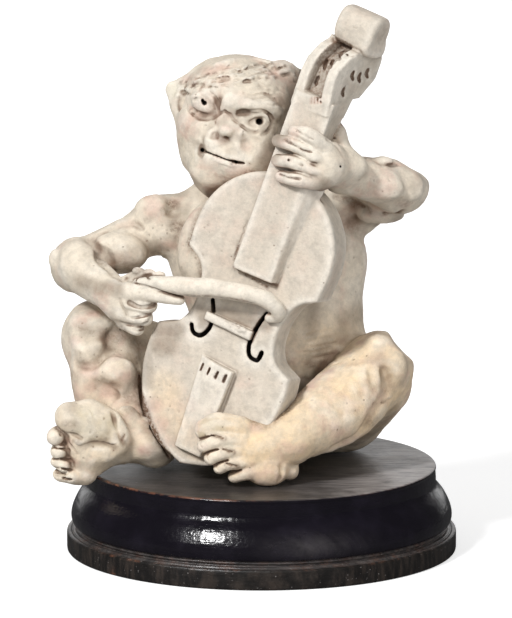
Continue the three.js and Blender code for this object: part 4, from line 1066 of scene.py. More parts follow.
    for x, h, wide in (
        (0.6, 54.8, 3.2), (0.5, 53.7, 3.6), (2.6, 52.2, 3), (-1.6, 56, 3.4), (3.4, 55.8, 2.6),
        (4.6, 53.6, 2.4), (5, 51, 2), (1.4, 52.9, 3.8), (5.4, 54.6, 2), (-0.6, 57, 3),
    ):
        wave = [(x - wide, h + 0.25), (x - wide / 3, h - 0.2), (x + wide / 3, h + 0.2), (x + wide, h - 0.6)]
        groove(wave, 0.17, 0.16, 0.5, 0)
    # Painted shade on the head's side beside the board, in the brow's crease, round the eye and beside the
    # nose.
    for line in (
        [(11, 58.6), (9.8, 54.6), (8.4, 51), (7, 47.4), (5.6, 43.6), (4.2, 40), (2.6, 36.8)],
        [(11.6, 56), (9.6, 50.6), (7.4, 45)],
    ):
        hand.tint("shade", line, 4.4, 0.8)
    hand.tint("shade", [(-2.6, 49.6), (-4.2, 48.6), (-4.6, 47)], 1.4, 0.15)
    hand.tint("shade", [(-11.2, 51.6), (-10.6, 49.8)], 1.2, 0.25)
    hand.tint("shade", [(2.6, 45), (4.4, 42), (4.6, 38)], 2.6, 0.5)
    for spot in ((-16.4, 50.4), (-15.4, 50.9)):
        hand.tint("pink", [spot, spot], 1.2, 0.5)
    hand.dabs("pink", 0.6, (
        (-8, 57, 3, 0.25), (-16, 57, 2.4, 0.5), (-13, 60, 2.4, 0.4), (-4, 53.4, 2, 0.2),
        (-7.4, 45.6, 1.8, 0.4), (-9, 42.4, 2, 0.35), (-2.6, 40.6, 2, 0.3), (-16.4, 44, 2.6, 0.25),
        (-3, 52, 1.6, 0.3), (6, 52, 2.6, 0.3),
    ))
    # Painted shade in small patches by the cheek, the eye, the nose and the mouth.
    hand.dabs("shade", 0.6, (
        (-14.6, 41, 1.8, 0.3), (-9, 46.6, 1.4, 0.3), (-3.6, 42.6, 1.6, 0.35), (-6, 39.4, 2, 0.2),
    ))
    for spot in ((-16, 37), (-18.6, 41.6), (-10, 56)):
        hand.tint("olive", [spot, spot], 3.2, 0.22)
    for spot in ((-21.4, 55), (-20.6, 53.8), (-20.2, 55.4)):
        hand.tint("olive", [spot, spot], 1.8, 0.55)


def shade(hand):
    """Painted shade on the sides and undersides that lie away from the light."""
    for points, radius, strength in (
        ([(-44, 7), (-40, 5.4), (-34.6, 5)], 3, 0.6), ([(-32, 11), (-28, 12.6), (-25, 15)], 3.6, 0.5),
        ([(-46.4, -14), (-47, -20), (-46, -25)], 2.6, 0.4), ([(-33, -20), (-31, -26)], 2.6, 0.4),
        ([(-27.6, -29.6), (-24, -35.4), (-20, -39)], 2.8, 0.5), ([(-32, -41.6), (-37, -43.6)], 2, 0.4),
        ([(24.4, -33.6), (30, -30.6), (34.4, -25)], 3.4, 0.55), ([(18, -37.4), (24, -35.4)], 2.4, 0.4),
        ([(16.6, 31), (19, 24), (21, 16)], 3.6, 0.5), ([(26, 22.6), (32, 21.6), (37, 22.6)], 2.4, 0.55),
        ([(40.6, 32), (41, 29)], 1.6, 0.3), ([(14, -12), (17.6, -8.6), (22, -6)], 3, 0.4),
        ([(-29, 27), (-24, 29)], 2.4, 0.25), ([(-19, 29), (-15.4, 32)], 3, 0.4),
        ([(35, -7), (37, -12), (36.4, -18)], 2.4, 0.35), ([(22, -3), (26, -1)], 4, 0.4),
        ([(13.4, 6), (14.6, 0), (13.6, -6)], 3, 0.5), ([(11, 57), (9.4, 52), (7.6, 47)], 3, 0.6),
        ([(-40.6, -11), (-37, -9.6)], 2.6, 0.4), ([(-35, 12.6), (-31, 14), (-28, 15)], 3.4, 0.4),
        ([(-21, 22.6), (-18.6, 24.4)], 3.6, 0.4), ([(-43, -4.6), (-41.6, -6.4)], 2.8, 0.3),
        ([(31, -12), (33, -16)], 4, 0.3), ([(39, 31), (41, 33)], 3, 0.35),
        ([(6.4, 52), (6, 48), (5, 44)], 2.6, 0.6), ([(-34.6, -4), (-31, -7), (-29.6, -13)], 3.4, 0.5),
    ):
        hand.tint("shade", points, radius, strength)


# Strokes of hair over the crown.
HAIR_STROKES = 130


def hair(hand):
    """Short ragged strokes in a band round the crown, and a tuft over the neck side."""
    draw = random.Random(5)
    hand.ridge([(4, 60.6), (6.6, 61.2), (9, 60.1), (11.2, 58.2)], (0.8, 1.1, 1, 0.6), 1.4)
    hand.ridge([(5.4, 58.9), (7.6, 59.3), (9.6, 58.2)], (0.4, 0.7, 0.4), 0.8)
    hand.ridge([(-9.7, 61), (-6, 62), (0, 62.3), (3.6, 61.4)], (0.5, 0.6, 0.6, 0.5), 1.2)
    for _ in range(HAIR_STROKES):
        x = draw.uniform(-20, 10.5)
        h = 59.3 + 0.1 * x - 0.011 * (x + 2) ** 2 + draw.uniform(-2.4, 2.4)
        run = draw.uniform(0.7, 2.2)
        rise = draw.uniform(-0.3, 0.9)
        line = [(x, h), (x + run / 2, h + rise / 2 + 0.15), (x + run, h + rise)]
        if draw.random() < 0.35:
            hand.ridge(line, draw.uniform(0.16, 0.26), 0.5)
        else:
            hand.groove(line, draw.uniform(0.14, 0.22), draw.choice((0.15, 0.3, 0.5)), 0.4, 0.05, 0.15)
    hand.groove([(-2.1, 58.1), (0.4, 58.9), (2.6, 59.5)], 0.2, 0.6)
    hand.groove([(-13.5, 58.4), (-11.6, 58.9), (-9.6, 58.5)], 0.22, 0.6)
    hand.dabs("pink", 0.8, (
        (-12, 59.6, 2.6, 0.5), (-8.6, 60.4, 2, 0.5), (4.6, 58.6, 2.4, 0.5), (8, 57.6, 2.6, 0.5),
        (-17, 57.6, 2, 0.5),
    ))
    for x, h in ((-12.4, 58.7), (-10.6, 58.8), (2.4, 57.7), (4.4, 57.7), (-19.2, 56.6), (-17.6, 56.8)):
        hand.tint("stain", [(x, h), (x + 0.5, h + 0.1)], 0.5, 0.7)


# Cello, in its own flat frame: u across, v up the length, n out of the front.


def half_outline():
    """Upper bout, waist and lower bout of one side."""
    upper = [(0, CELLO_TOP), (7, 38.4), (12.6, 35), (17, 29), (UPPER_HALF, 22), (18.3, 14.2)]
    waist = [(18.3, 14.2), (14, 11.4), (WAIST_HALF, 7), (WAIST_HALF - 0.4, 1), (13.6, -4), (18.6, -6.6)]
    lower = [(18.6, -6.6), (LOWER_HALF, -12), (18, -19.5), (14, -28), (8, -34), (0, CELLO_BOTTOM)]
    return np.vstack([curve_through(part, LINE_PARTS)[:-1] for part in (upper, waist, lower)])


def body_outline():
    """The whole plate, as a ring of points."""
    half = half_outline()
    right = half + (CELLO_MIDDLE, 0)
    left = (half[1:] * (-1, 1) + (CELLO_MIDDLE, 0))[::-1]
    return np.vstack([right, [(CELLO_MIDDLE, CELLO_BOTTOM)], left])


def off_line(u, v, start, end):
    """How far each place lies across and up from the nearest point of a line."""
    (ax, ay), (bx, by) = start, end
    ex, ey = bx - ax, by - ay
    t = np.clip(((u - ax) * ex + (v - ay) * ey) / max(ex * ex + ey * ey, 1e-9), 0, 1)
    return u - ax - ex * t, v - ay - ey * t


def flat_distance(u, v, ring):
    """Signed distance to a closed ring of points, negative inside."""
    ring = np.asarray(ring, float)
    best = np.full(np.broadcast(u, v).shape, 1e9, np.float32)
    inside = np.zeros(best.shape, bool)
    for (ax, ay), (bx, by) in zip(ring, np.roll(ring, -1, axis=0)):
        across, up = off_line(u, v, (ax, ay), (bx, by))
        best = np.minimum(best, across**2 + up**2)
        crosses = (ay > v) != (by > v)
        if ay != by:
            inside ^= crosses & (u < (bx - ax) * (v - ay) / (by - ay) + ax)
    return np.where(inside, -1, 1) * np.sqrt(best)


def rounded(a, b, edge):
    """Two walls meet in a round edge."""
    return np.hypot(np.maximum(a, 0), np.maximum(b, 0)) + np.minimum(np.maximum(a, b), 0) - edge


def slab(outline_distance, depth, low, high, edge):
    """A flat shape given thickness, with its edges rounded."""
    return rounded(outline_distance + edge, np.abs(depth - (low + high) / 2) - (high - low) / 2 + edge, edge)


def stroke_distance(u, v, points, radius):
    """Flat distance to a stroke drawn through some points."""
    line = curve_through(points, LINE_PARTS)
    gaps = (np.hypot(*off_line(u, v, start, end)) for start, end in zip(line, line[1:]))
    return functools.reduce(np.minimum, gaps) - radius


def tail_top(u):
    """The face of the tailpiece: it runs into the plate on the bow side."""
    return np.minimum(TAIL_PROUD, 0.4 + 0.5 * (u - TAIL_CORNERS[0][0]))


def twisted(u, v, n):
    """Depth and width in the pegbox, which turns aside as it rises, and back again at the scroll."""
    turn = HEAD_TWIST * (np.clip((v - NUT_HEIGHT + 6) / 14, 0, 1) - 0.9 * np.clip((v - 74.5) / 4.5, 0, 1))
    deep, wide = n - HEAD_PIVOT[1], u - HEAD_PIVOT[0]
    return deep * np.cos(turn) - wide * np.sin(turn), deep * np.sin(turn) + wide * np.cos(turn)


def fingerboard(u, v, n, flat_u, flat_v):
    """The board tapers towards the nut, and a wedge of clay carries its free side on the plate."""
    half = NECK_WIDTH / 2
    nut = NUT_HEIGHT + 1
    corners = [
        (NECK_FOOT_MIDDLE - half, NECK_FOOT),
        (NECK_FOOT_MIDDLE + half, NECK_FOOT + 0.4),
        (NUT_MIDDLE + half, nut),
        (NUT_MIDDLE - half, nut),
    ]
    outline = flat_distance(flat_u, flat_v, corners)[:, :, None]
    board = slab(outline, n, NECK_PROUD - NECK_DEPTH, NECK_PROUD, 0.45)
    lean = NECK_FOOT_MIDDLE - NUT_MIDDLE
    side = NECK_FOOT_MIDDLE + half - lean * (v - NECK_FOOT) / (nut - NECK_FOOT)
    slope = (0.7 + 0.09 * (v - NECK_FOOT)) * (1 - n / NECK_PROUD)
    wedge = np.maximum(u - side - slope, np.maximum(1 - u, n - NECK_PROUD + 0.3))
    wedge = np.maximum(np.maximum(wedge, NECK_FOOT + 0.3 - v), np.maximum(v - CELLO_TOP - 1, -n - 1))
    return board, wedge * 0.8


def pegbox(u, v, n):
    """The pegbox is drawn from its side, and carries a squarish scroll and an open slot."""
    deep, wide = twisted(u, v, n)
    front = [(5, PEGBOX_FOOT), (5, 66), (4.3, 69.5), (1.5, 73.4), (-1.5, 75.3), (-2.6, 78)]
    back = [(-9.8, 78), (-10.7, 73), (-10.8, 69.5), (-8.1, 63.3), (-5.6, 62.8), (-5.2, PEGBOX_FOOT)]
    box = slab(flat_distance(deep, v, front + back), wide, -NECK_WIDTH / 2, NECK_WIDTH / 2, 0.5)
    box = np.maximum(box, v - 75.8 - np.clip(wide + 3.6, 0, 2.4))
    away = np.abs((deep - SCROLL_CENTRE[0]) / SCROLL_RADII[0]) ** SCROLL_SQUARE
    up = np.abs((v - SCROLL_CENTRE[1]) / SCROLL_RADII[1]) ** SCROLL_SQUARE
    rim = ((away + up) ** (1 / SCROLL_SQUARE) - 1) * min(SCROLL_RADII) + SCROLL_EDGE
    ends = np.abs(wide - SCROLL_SHIFT) - SCROLL_WIDTH / 2 + SCROLL_EDGE
    box = join(box, rounded(rim, ends, SCROLL_EDGE), 0.8)
    bed = [
        (2.4, NUT_HEIGHT + 1.6), (7, NUT_HEIGHT + 1), (7, 75.4), (-4, 75), (-3.4, 73.6), (-0.9, 71),
        (1.4, 68),
    ]
    slot = slab(flat_distance(deep, v, bed), wide, -PEG_SLOT_WIDTH / 2, PEG_SLOT_WIDTH / 2, 0.3)
    return cut(box, slot, 0.5)


def cello_block(cell):
    """The cello in one block of distances."""
    clay = Clay((-24, -41, -17), (27, 88, 9), cell)
    u, v, n = (clay.line(i) for i in range(3))
    flat_u, flat_v = u[:, :, 0], v[:, :, 0]

    def cut_stroke(body, line, radius, floor, soft):
        mark = stroke_distance(flat_u, flat_v, line, radius)[:, :, None]
        return cut(body, np.maximum(mark, floor - n), soft)

    outline = flat_distance(flat_u, flat_v, body_outline())[:, :, None]
    field = slab(outline, n, -RIB_DEPTH, 0, 0.8)
    for part in fingerboard(u, v, n, flat_u, flat_v):
        field = join(field, part, 0.3)
    high = (v[0, :, 0] > PEGBOX_FOOT - 3).nonzero()[0][0]
    field = np.ascontiguousarray(np.broadcast_to(field, clay.size)).copy()
    field[:, high:, :] = join(field[:, high:, :], pegbox(u, v[:, high:, :], n), 0.4)
    for hole in SOUND_HOLES:
        field = cut_stroke(field, hole, HOLE_WIDTH, -HOLE_DEPTH, 0.3)
    tail = slab(flat_distance(flat_u, flat_v, TAIL_CORNERS)[:, :, None], n, -1, TAIL_PROUD, 0.5)
    tail = np.maximum(tail, n - tail_top(u))
    for line in TAIL_SLITS:
        tail = cut_stroke(tail, line, SLIT_WIDTH, tail_top(u) - SLIT_DEPTH, 0.25)
    bridge = flat_distance(flat_u, flat_v, BRIDGE_CORNERS)[:, :, None]
    field = join(field, tail, 0.5)
    field = join(field, slab(bridge, n, -1, BRIDGE_PROUD, 0.4), 0.4)
    clay.field = field.astype(np.float32)
    return clay


def cello_marks(hand):
    """Peg holes, string ends, cracks, crumbs, colours and painted shadows of the cello, on the same sheet as
    the imp's.
    """
    for x, h in ((24.1, 58.3), (25.8, 57.8), (27.7, 58.9), (21.7, 54.2)):
        line = [(x + 0.3, h + 1.1), (x - 0.2, h), (x + 0.1, h - 1)]
        hand.slit(line, (0.2, 0.38, 0.2), 0.9, "stain", 0.95, 0.15)
    for x, h, high in ((17.3, 61, 1), (18.9, 61.2, 0.8), (15.2, 57, 0.9), (21.1, 63.2, 0.8)):
        hand.slit([(x - 0.2, h - high), (x, h), (x + 0.4, h + high)], 0.3, 0.9)
    for x in (13.9, 14.7, 15.5, 16.3):
        hand.groove([(x, 53), (x - 0.1, 51.5)], 0.2, 0.8)
        hand.tint("pink", [(x, 52.6), (x - 0.1, 51.6)], 0.7, 0.7)
    hand.groove([(16.8, 63.8), (18.6, 64.4), (21, 63.9), (23, 63.4), (24.4, 63.2)], 0.28, 0.8)
    hand.groove([(20.4, 65.2), (21.6, 64.2), (22.8, 64.8)], 0.2, 0.6)
    hand.groove([(30.6, 68), (31.4, 67.2), (31.7, 68.3)], 0.14, 0.3)
    hand.groove([(24.4, 70.4), (25.2, 70.2)], 0.16, 0.3)
    crack = [(-2.2, 22), (-2.6, 20.8), (-3.1, 20.4), (-3, 19.2), (-3.7, 18.4), (-3.9, 17.2), (-4.6, 16.2)]
    hand.groove(crack, 0.16, 0.9)
    for x, h in ((-3.4, -4.8), (-4.6, -4.3), (-3.9, -5.3), (-2.9, -5.4), (-5.6, -3.8)):
        hand.lump(x, h, (0.6, 0.45, 0.5), 0.3, 0)
    hand.groove([(-7.6, -2.9), (-4.4, -4.6)], 0.2, 0.5)
    # Dirt and painted shade along the edge where the bow leg and foot meet the plate.
    edge = [(-28.6, -21.5), (-26.6, -28), (-23.6, -34), (-20.4, -38), (-17.2, -40)]
    hand.tint("stain", edge, 1.3, 1)
    # Painted shadow of the bow hand on the plate below it.
    hand.tint("shade", [(-25, -4.6), (-20.4, -5)], 4.4, 0.6)
    hand.tint("shade", [(-25, -9), (-22, -9)], 4.4, 0.55)
    hand.tint("stain", [(-4.4, 16), (-5.4, 12.6), (-5.7, 10.6), (-2.6, 8.6), (3, 5.4)], 0.6, 0.8)
    # Painted shadow below the bow and its hand, and painted shade along the plate's left edge and beside the
    # board.
    hand.tint("shade", [(-15.6, 1), (-13.4, -1), (-13, -4)], 2.4, 0.5)
    hand.tint("shade", [(-10.6, -0.4), (-6.4, -1.6), (-1, -3), (2.4, -4)], 2.8, 0.6)
    hand.tint("shade", [(-28, -6), (-27.6, -12), (-27.4, -18)], 3, 0.45)
    hand.tint("shade", [(11.6, 36), (13.6, 32), (15, 27)], 2, 0.3)
    hand.tint("tan", [(-23, -20), (-21, -28), (-15, -35)], 7, 0.55)
    hand.dabs("pink", 0.8, (
        (-26, -24, 3, 0.5), (-24, -29, 3, 0.5), (-21, -33, 2.4, 0.35), (-12, 22, 4, 0.25), (-8, 12, 3, 0.2),
        (6, 20, 3, 0.2), (-17, -24, 3, 0.2), (15, 24, 2.4, 0.25), (-3, -18, 3, 0.2), (1, 32, 4, 0.25),
    ))
    hand.pin_holes(23, CELLO_PITS, 0.12, 1, 1.4, 0.12)


def bow_lump():
    """The stick runs across the cello and bends down at its tip."""
    at = CELLO.at
    route = [
        at(-24.5, 0.8, 5), at(-18.8, 3.5, 5.5), at(-12.9, 5.2, 5.5), at(-6.2, 7.6, 5.5), at(-0.3, 9.2, 5),
        at(5, 10.3, 4.5), at(8.5, 10.3, 4), at(11, 9.2, 3), at(11.4, 7.4, 1.5), at(9.6, 6, 0.8),
    ]
    return roll(route, (1.3, 1.8, 2.3, 2.4, 2.3, 2.2, 2.1, 1.9, 1.7, 1.3))


def figure_block(cell):
    """The imp and its bow in one block of distances, with the paint that goes on it."""
    clay = Clay((-60, -40, 19), (50, 38, 131), cell)
    for form in (torso, bow_leg, neck_leg, bow_arm, neck_arm, skull, ear, bow_hand, neck_hand):
        form(clay)
    clay.blend(bow_lump(), 0.5)
    hand = Hand(clay)
    for work in (bow_foot, neck_foot, face, hair, shade, bow_side, neck_side):
        work(hand)
    hand.pin_holes(11, FIGURE_PITS, 0.1, 0.8, 1.6, 0.15)
    x, y, z = (clay.line(i) for i in range(3))
    over_plinth = np.hypot(x, y) < TOP_RADIUS + 0.4
    seat = np.where(over_plinth, PLINTH_HEIGHT + REST_GAP - z, -1e3)
    clay.field = np.maximum(clay.field, seat).astype(np.float32)
    return clay, hand.paint


# Materials


def group(name, inputs, outputs):
    """A shader node group with named sockets, and its two end nodes."""
    tree = bpy.data.node_groups.new(name, "ShaderNodeTree")
    for label, kind, value in inputs:
        socket = tree.interface.new_socket(label, in_out="INPUT", socket_type="NodeSocket" + kind)
        socket.default_value = value
    for label, kind in outputs:
        tree.interface.new_socket(label, in_out="OUTPUT", socket_type="NodeSocket" + kind)
    return tree, tree.nodes.new("NodeGroupInput"), tree.nodes.new("NodeGroupOutput")


class Wires:
    """Short ways to add and join nodes in one tree."""

    def __init__(self, tree):
        self.tree = tree

    def node(self, kind, **settings):
        node = self.tree.nodes.new("ShaderNode" + kind)
        for key, value in settings.items():
            setattr(node, key, value)
        return node

    def link(self, source, target):
        """Joins an output to an input, or sets the input where the source is a plain value."""
        if hasattr(source, "is_output"):
            self.tree.links.new(source, target)
        else:
            target.default_value = source

    def math(self, operation, a, b, clamp=False):
        node = self.node("Math", operation=operation, use_clamp=clamp)
        for value, socket in zip((a, b), node.inputs):
            self.link(value, socket)
        return node.outputs[0]

    def times(self, a, b, clamp=False):
        """A product, which may be kept between 0 and 1."""
        return self.math("MULTIPLY", a, b, clamp=clamp)

    def plus(self, a, b):
        return self.math("ADD", a, b)

    def mix(self, factor, a, b, blend="MIX"):
        node = self.node("Mix", data_type="RGBA", blend_type=blend, clamp_factor=True)
        self.link(factor, node.inputs[0])
        self.link(a, node.inputs[6])
        self.link(b, node.inputs[7])
        return node.outputs[2]

    def noise(self, vector, scale, detail, rough, warp=0.0):
        node = self.node("TexNoise")
        self.link(vector, node.inputs["Vector"])
        self.link(scale, node.inputs["Scale"])
        node.inputs["Detail"].default_value = detail
        node.inputs["Roughness"].default_value = rough
        node.inputs["Distortion"].default_value = warp
        return node.outputs["Fac"]

    def range(self, value, low, high, to_low=0.0, to_high=1.0):
        """A soft step from one pair of values to another."""
        node = self.node("MapRange", interpolation_type="SMOOTHSTEP")
        for n, item in enumerate((value, low, high, to_low, to_high)):
            self.link(item, node.inputs[n])
        return node.outputs[0]

    def mask(self, name):
        """A mask that is written on the mesh."""
        return self.node("Attribute", attribute_name=name).outputs["Fac"]

    def place(self):
        return self.node("TexCoord").outputs["Object"]

    def stretched(self, place, scale, turn=0.0):
        """The place in a frame that is turned about the upright axis and squeezed."""
        node = self.node("Mapping")
        self.link(place, node.inputs["Vector"])
        node.inputs["Rotation"].default_value = (0, 0, turn)
        node.inputs["Scale"].default_value = scale
        return node.outputs[0]

    def bump(self, height, strength, distance):
        node = self.node("Bump")
        node.inputs["Strength"].default_value = strength
        node.inputs["Distance"].default_value = distance
        self.link(height, node.inputs["Height"])
        return node.outputs["Normal"]


# Noise scales of the clay, in lumps per metre, from broad clouds to single grains of grit.
CLOUD, BLOTCH, SPECK, DIMPLE, MOTTLE, FINE, GRIT = 70, 210, 420, 480, 520, 1400, 4200

# The same for the plinth, from drifts of dust to its finest specks.
DRIFT, SMEAR, GRAIN, LATHE, RUBBED, PEEL, HAZE, DUST_SPECK = 60, 120, 130, 150, 400, 900, 1300, 1500

# Colours that the masks bring into the clay.
OLIVE_GLAZE = (0.33, 0.29, 0.17, 1)
PALE_EDGE = (0.9, 0.86, 0.78, 1)
# Painted shade: the black laid into holes, slits and finger gaps.
HOLE_BLACK = (0.012, 0.008, 0.006, 1)
# Painted shade: the colour that the shade mask lays over cast shadows and sides that lie away from the
# light.
PAINTED_SHADE = (0.2, 0.145, 0.1, 1)

# Relief of the two finishes: strength and height in metres. Their gloss is the shader's specular level.
CLAY_RELIEF = (0.65, 0.00022)
POLISH_RELIEF = (0.6, 0.00012)
CLAY_GLOSS = 0.35
POLISH_GLOSS = 0.5

# The wood's grain runs across the top at this angle. It is squeezed across, and the turning marks upwards.
GRAIN_TURN = math.radians(25)
GRAIN_SQUEEZE = (1, 7, 1)
LATHE_SQUEEZE = (1, 1, 6)

# Grey of the plinth's dull top and foot, between its streaks and on them.
DULL_DARK = (0.006, 0.005, 0.0045, 1)
DULL_PALE = (0.034, 0.024, 0.018, 1)


def fired_clay_group():
    """Dirt and painted shade in the hollows, paler edges, pink and tan patches, pits, painted shade from its
    mask and a fine grain.
    """
    tree, given, made = group(
        "Fired clay",
        (
            ("Clay", "Color", (0.8, 0.72, 0.6, 1)),
            ("Dirt", "Color", (0.2, 0.12, 0.08, 1)),
            ("Blush", "Color", (0.6, 0.4, 0.33, 1)),
            ("Tan", "Color", (0.65, 0.47, 0.28, 1)),
            ("Dirt amount", "Float", 0.9),
            ("Blush amount", "Float", 0.7),
            ("Pit amount", "Float", 0.5),
        ),
        (("Color", "Color"), ("Roughness", "Float"), ("Height", "Float")),
    )
    w = Wires(tree)
    place = w.place()
    hollow, proud, tan = w.mask("hollow"), w.mask("proud"), w.mask("tan")
    cloud = w.noise(place, CLOUD, 4, 0.6)
    blotch = w.noise(place, BLOTCH, 4, 0.65, 0.6)
    fine = w.noise(place, FINE, 3, 0.6)
    grit = w.noise(place, GRIT, 2, 0.5)
    dirt, pink_clay = given.outputs["Dirt"], given.outputs["Blush"]
    warm = w.times(tan, w.range(blotch, 0.25, 0.7, 0.55, 1.0))
    colour = w.mix(warm, given.outputs["Clay"], given.outputs["Tan"])
    blush = w.times(w.range(cloud, 0.45, 0.62), w.range(blotch, 0.35, 0.62))
    colour = w.mix(w.times(blush, given.outputs["Blush amount"]), colour, pink_clay)
    pink = w.times(w.mask("pink"), w.range(blotch, 0.3, 0.6, 0.5, 1.3))
    colour = w.mix(pink, colour, pink_clay)
    olive = w.times(w.mask("olive"), w.range(blotch, 0.3, 0.6, 0.4, 1.0))
    colour = w.mix(olive, colour, OLIVE_GLAZE)
    colour = w.mix(w.times(proud, 0.35), colour, PALE_EDGE)
    # Dirt and painted shade in the hollows: the deeper the hollow, the darker the clay.
    broken = w.plus(hollow, w.times(w.math("SUBTRACT", blotch, 0.5), 0.5))
    stain = w.times(w.range(broken, 0.38, 1.1), given.outputs["Dirt amount"])
    colour = w.mix(stain, colour, dirt)
    speck = w.node("TexVoronoi", feature="F1")
    w.link(place, speck.inputs["Vector"])
    speck.inputs["Scale"].default_value = SPECK
    chance = w.range(speck.outputs["Color"], 0.8, 0.82)
    pit = w.times(w.range(speck.outputs["Distance"], 0.12, 0.05), chance)
    pit = w.times(pit, given.outputs["Pit amount"])
    colour = w.mix(pit, colour, dirt)
    ragged = w.times(w.mask("stain"), w.range(fine, 0.32, 0.62, 0.35, 1.0))
    ragged = w.times(ragged, w.range(blotch, 0.3, 0.6, 0.6, 1.0))
    colour = w.mix(w.times(ragged, 1.25, clamp=True), colour, dirt)
    # Painted shade: black in the holes, slits and gaps.
    colour = w.mix(w.range(w.mask("black"), 0.25, 0.6), colour, HOLE_BLACK)
    # Painted shade from the shade mask, for cast shadows and shaded sides.
    painted_shade = w.times(w.mask("shade"), w.range(blotch, 0.25, 0.6, 0.75, 1.0))
    colour = w.mix(painted_shade, colour, PAINTED_SHADE)
    tone = w.plus(w.times(w.plus(fine, grit), 0.22), 0.78)
    tone = w.times(tone, w.range(blotch, 0.3, 0.62, 0.91, 1.03))
    tone = w.times(tone, w.range(w.noise(place, MOTTLE, 3, 0.6), 0.32, 0.6, 0.9, 1.04))
    colour = w.mix(1.0, colour, tone, "MULTIPLY")
    w.link(colour, made.inputs["Color"])
    w.link(w.range(fine, 0.3, 0.7, 0.62, 0.8), made.inputs["Roughness"])
    height = w.plus(w.times(fine, 0.7), w.times(grit, 0.25))
    height = w.plus(height, w.times(w.noise(place, DIMPLE, 2, 0.5), 1.3))
    height = w.math("SUBTRACT", height, w.times(pit, 2.0))
    w.link(height, made.inputs["Height"])
    return tree


def principled(name):
    """A fresh material, with its wires and its shader."""
    material = bpy.data.materials.new(name)
    material.use_nodes = True
    return material, Wires(material.node_tree), material.node_tree.nodes["Principled BSDF"]


def clay_material(name, settings, **amounts):
    """Fired clay with the colours of the settings, and what one piece has otherwise."""
    material, w, shader = principled(name)
    tree = bpy.data.node_groups.get("Fired clay") or fired_clay_group()
    body = w.node("Group", node_tree=tree)
    for label in ("Clay", "Dirt", "Blush", "Tan"):
        body.inputs[label].default_value = (*getattr(settings, label.lower()), 1)
    for label, value in amounts.items():
        body.inputs[label.replace("_", " ")].default_value = value
    for label, socket in (("Color", "Base Color"), ("Roughness", "Roughness")):
        w.link(body.outputs[label], shader.inputs[socket])
    w.link(w.bump(body.outputs["Height"], *CLAY_RELIEF), shader.inputs["Normal"])
    shader.inputs["Specular IOR Level"].default_value = CLAY_GLOSS
    return material


def polish_material(settings):
    """Deep black polish: glossy on the bulge, dulled by dust and wear, and lightened by painted reflection
    and sheen, where the masks say.
    """
    material, w, shader = principled("plinth_polish")
    place = w.place()
    smear = w.noise(place, SMEAR, 4, 0.6)
    fine = w.noise(place, HAZE, 3, 0.6)
    peel = w.noise(place, PEEL, 2, 0.5)
    # This mask carries dust, and also the painted reflection on the top's right side and the painted sheen
    # on the bulge.
    dust_and_sheen = w.times(w.mask("dust_and_sheen"), w.range(w.noise(place, DRIFT, 5, 0.7, 1.5), 0.3, 0.62, 0.5, 1.0))
    worn = w.times(w.mask("worn"), w.range(w.noise(place, RUBBED, 4, 0.7), 0.42, 0.6))
    matt = w.mask("matt")
    streak = w.noise(w.stretched(place, GRAIN_SQUEEZE, GRAIN_TURN), GRAIN, 4, 0.65)
    dust_and_sheen = w.times(dust_and_sheen, w.range(streak, 0.35, 0.65, 0.6, 1.3))
    lathe = w.noise(w.stretched(place, LATHE_SQUEEZE), LATHE, 3, 0.6)
    speck = w.range(w.noise(place, DUST_SPECK, 2, 0.5), 0.69, 0.75)
    black = (*settings.black, 1)
    smeared = (*[2 * share for share in settings.black], 1)
    dust_and_sheen_grey = (*settings.dust_and_sheen, 1)
    colour = w.mix(w.range(smear, 0.4, 0.8), black, smeared)
    grey = w.mix(w.range(streak, 0.4, 0.75), DULL_DARK, DULL_PALE)
    colour = w.mix(matt, colour, grey)
    colour = w.mix(dust_and_sheen, colour, dust_and_sheen_grey)
    colour = w.mix(w.times(speck, w.times(matt, 0.5)), colour, dust_and_sheen_grey)
    colour = w.mix(worn, colour, (*settings.wood, 1))
    w.link(colour, shader.inputs["Base Color"])
    dull = w.math("MAXIMUM", w.times(matt, 0.7), w.math("MAXIMUM", dust_and_sheen, worn))
    rough = w.plus(w.range(smear, 0.3, 0.8, 0.16, 0.26), w.times(dull, 0.28))
    w.link(rough, shader.inputs["Roughness"])
    shader.inputs["Specular IOR Level"].default_value = POLISH_GLOSS
    height = w.plus(w.times(fine, 0.35), w.times(peel, 1.0))
    height = w.plus(height, w.times(lathe, 1.8))
    height = w.plus(height, w.times(w.times(streak, matt), 0.5))
    w.link(w.bump(height, *POLISH_RELIEF), shader.inputs["Normal"])
    return material


# Settings, in the units that Blender shows.


def colour_setting(name, description, default):
    """A colour that the panel's user may change."""
    return bpy.props.FloatVectorProperty(
        name=name, description=description, default=default, subtype="COLOR", size=3, min=0, max=1,
    )


class ClaySettings(bpy.types.PropertyGroup):
    """Fineness and colours of the imp and the cello."""

    grain: bpy.props.FloatProperty(
        name="Grain", description="Size of the cells that the figure is modelled in",
        default=0.0003, min=0.0002, max=0.002, unit="LENGTH", precision=5,
    )
    faces: bpy.props.IntProperty(
        name="Faces", description="Most triangles in one piece", default=190000, min=10000, max=199000,
    )
    clay: colour_setting("Clay", "Colour of the clean clay", (0.67, 0.592, 0.483))
    cello: colour_setting("Cello clay", "Colour of the greyer clay of the cello", (0.585, 0.52, 0.435))
    # The dirt colour darkens the hollows both as dirt and as painted shade.
    dirt: colour_setting("Dirt", "Colour of the stain in the hollows", (0.15, 0.088, 0.055))
    blush: colour_setting("Blush", "Colour of the pink patches", (0.54, 0.375, 0.30))
    tan: colour_setting("Tan", "Colour of the warm legs and feet", (0.72, 0.55, 0.355))


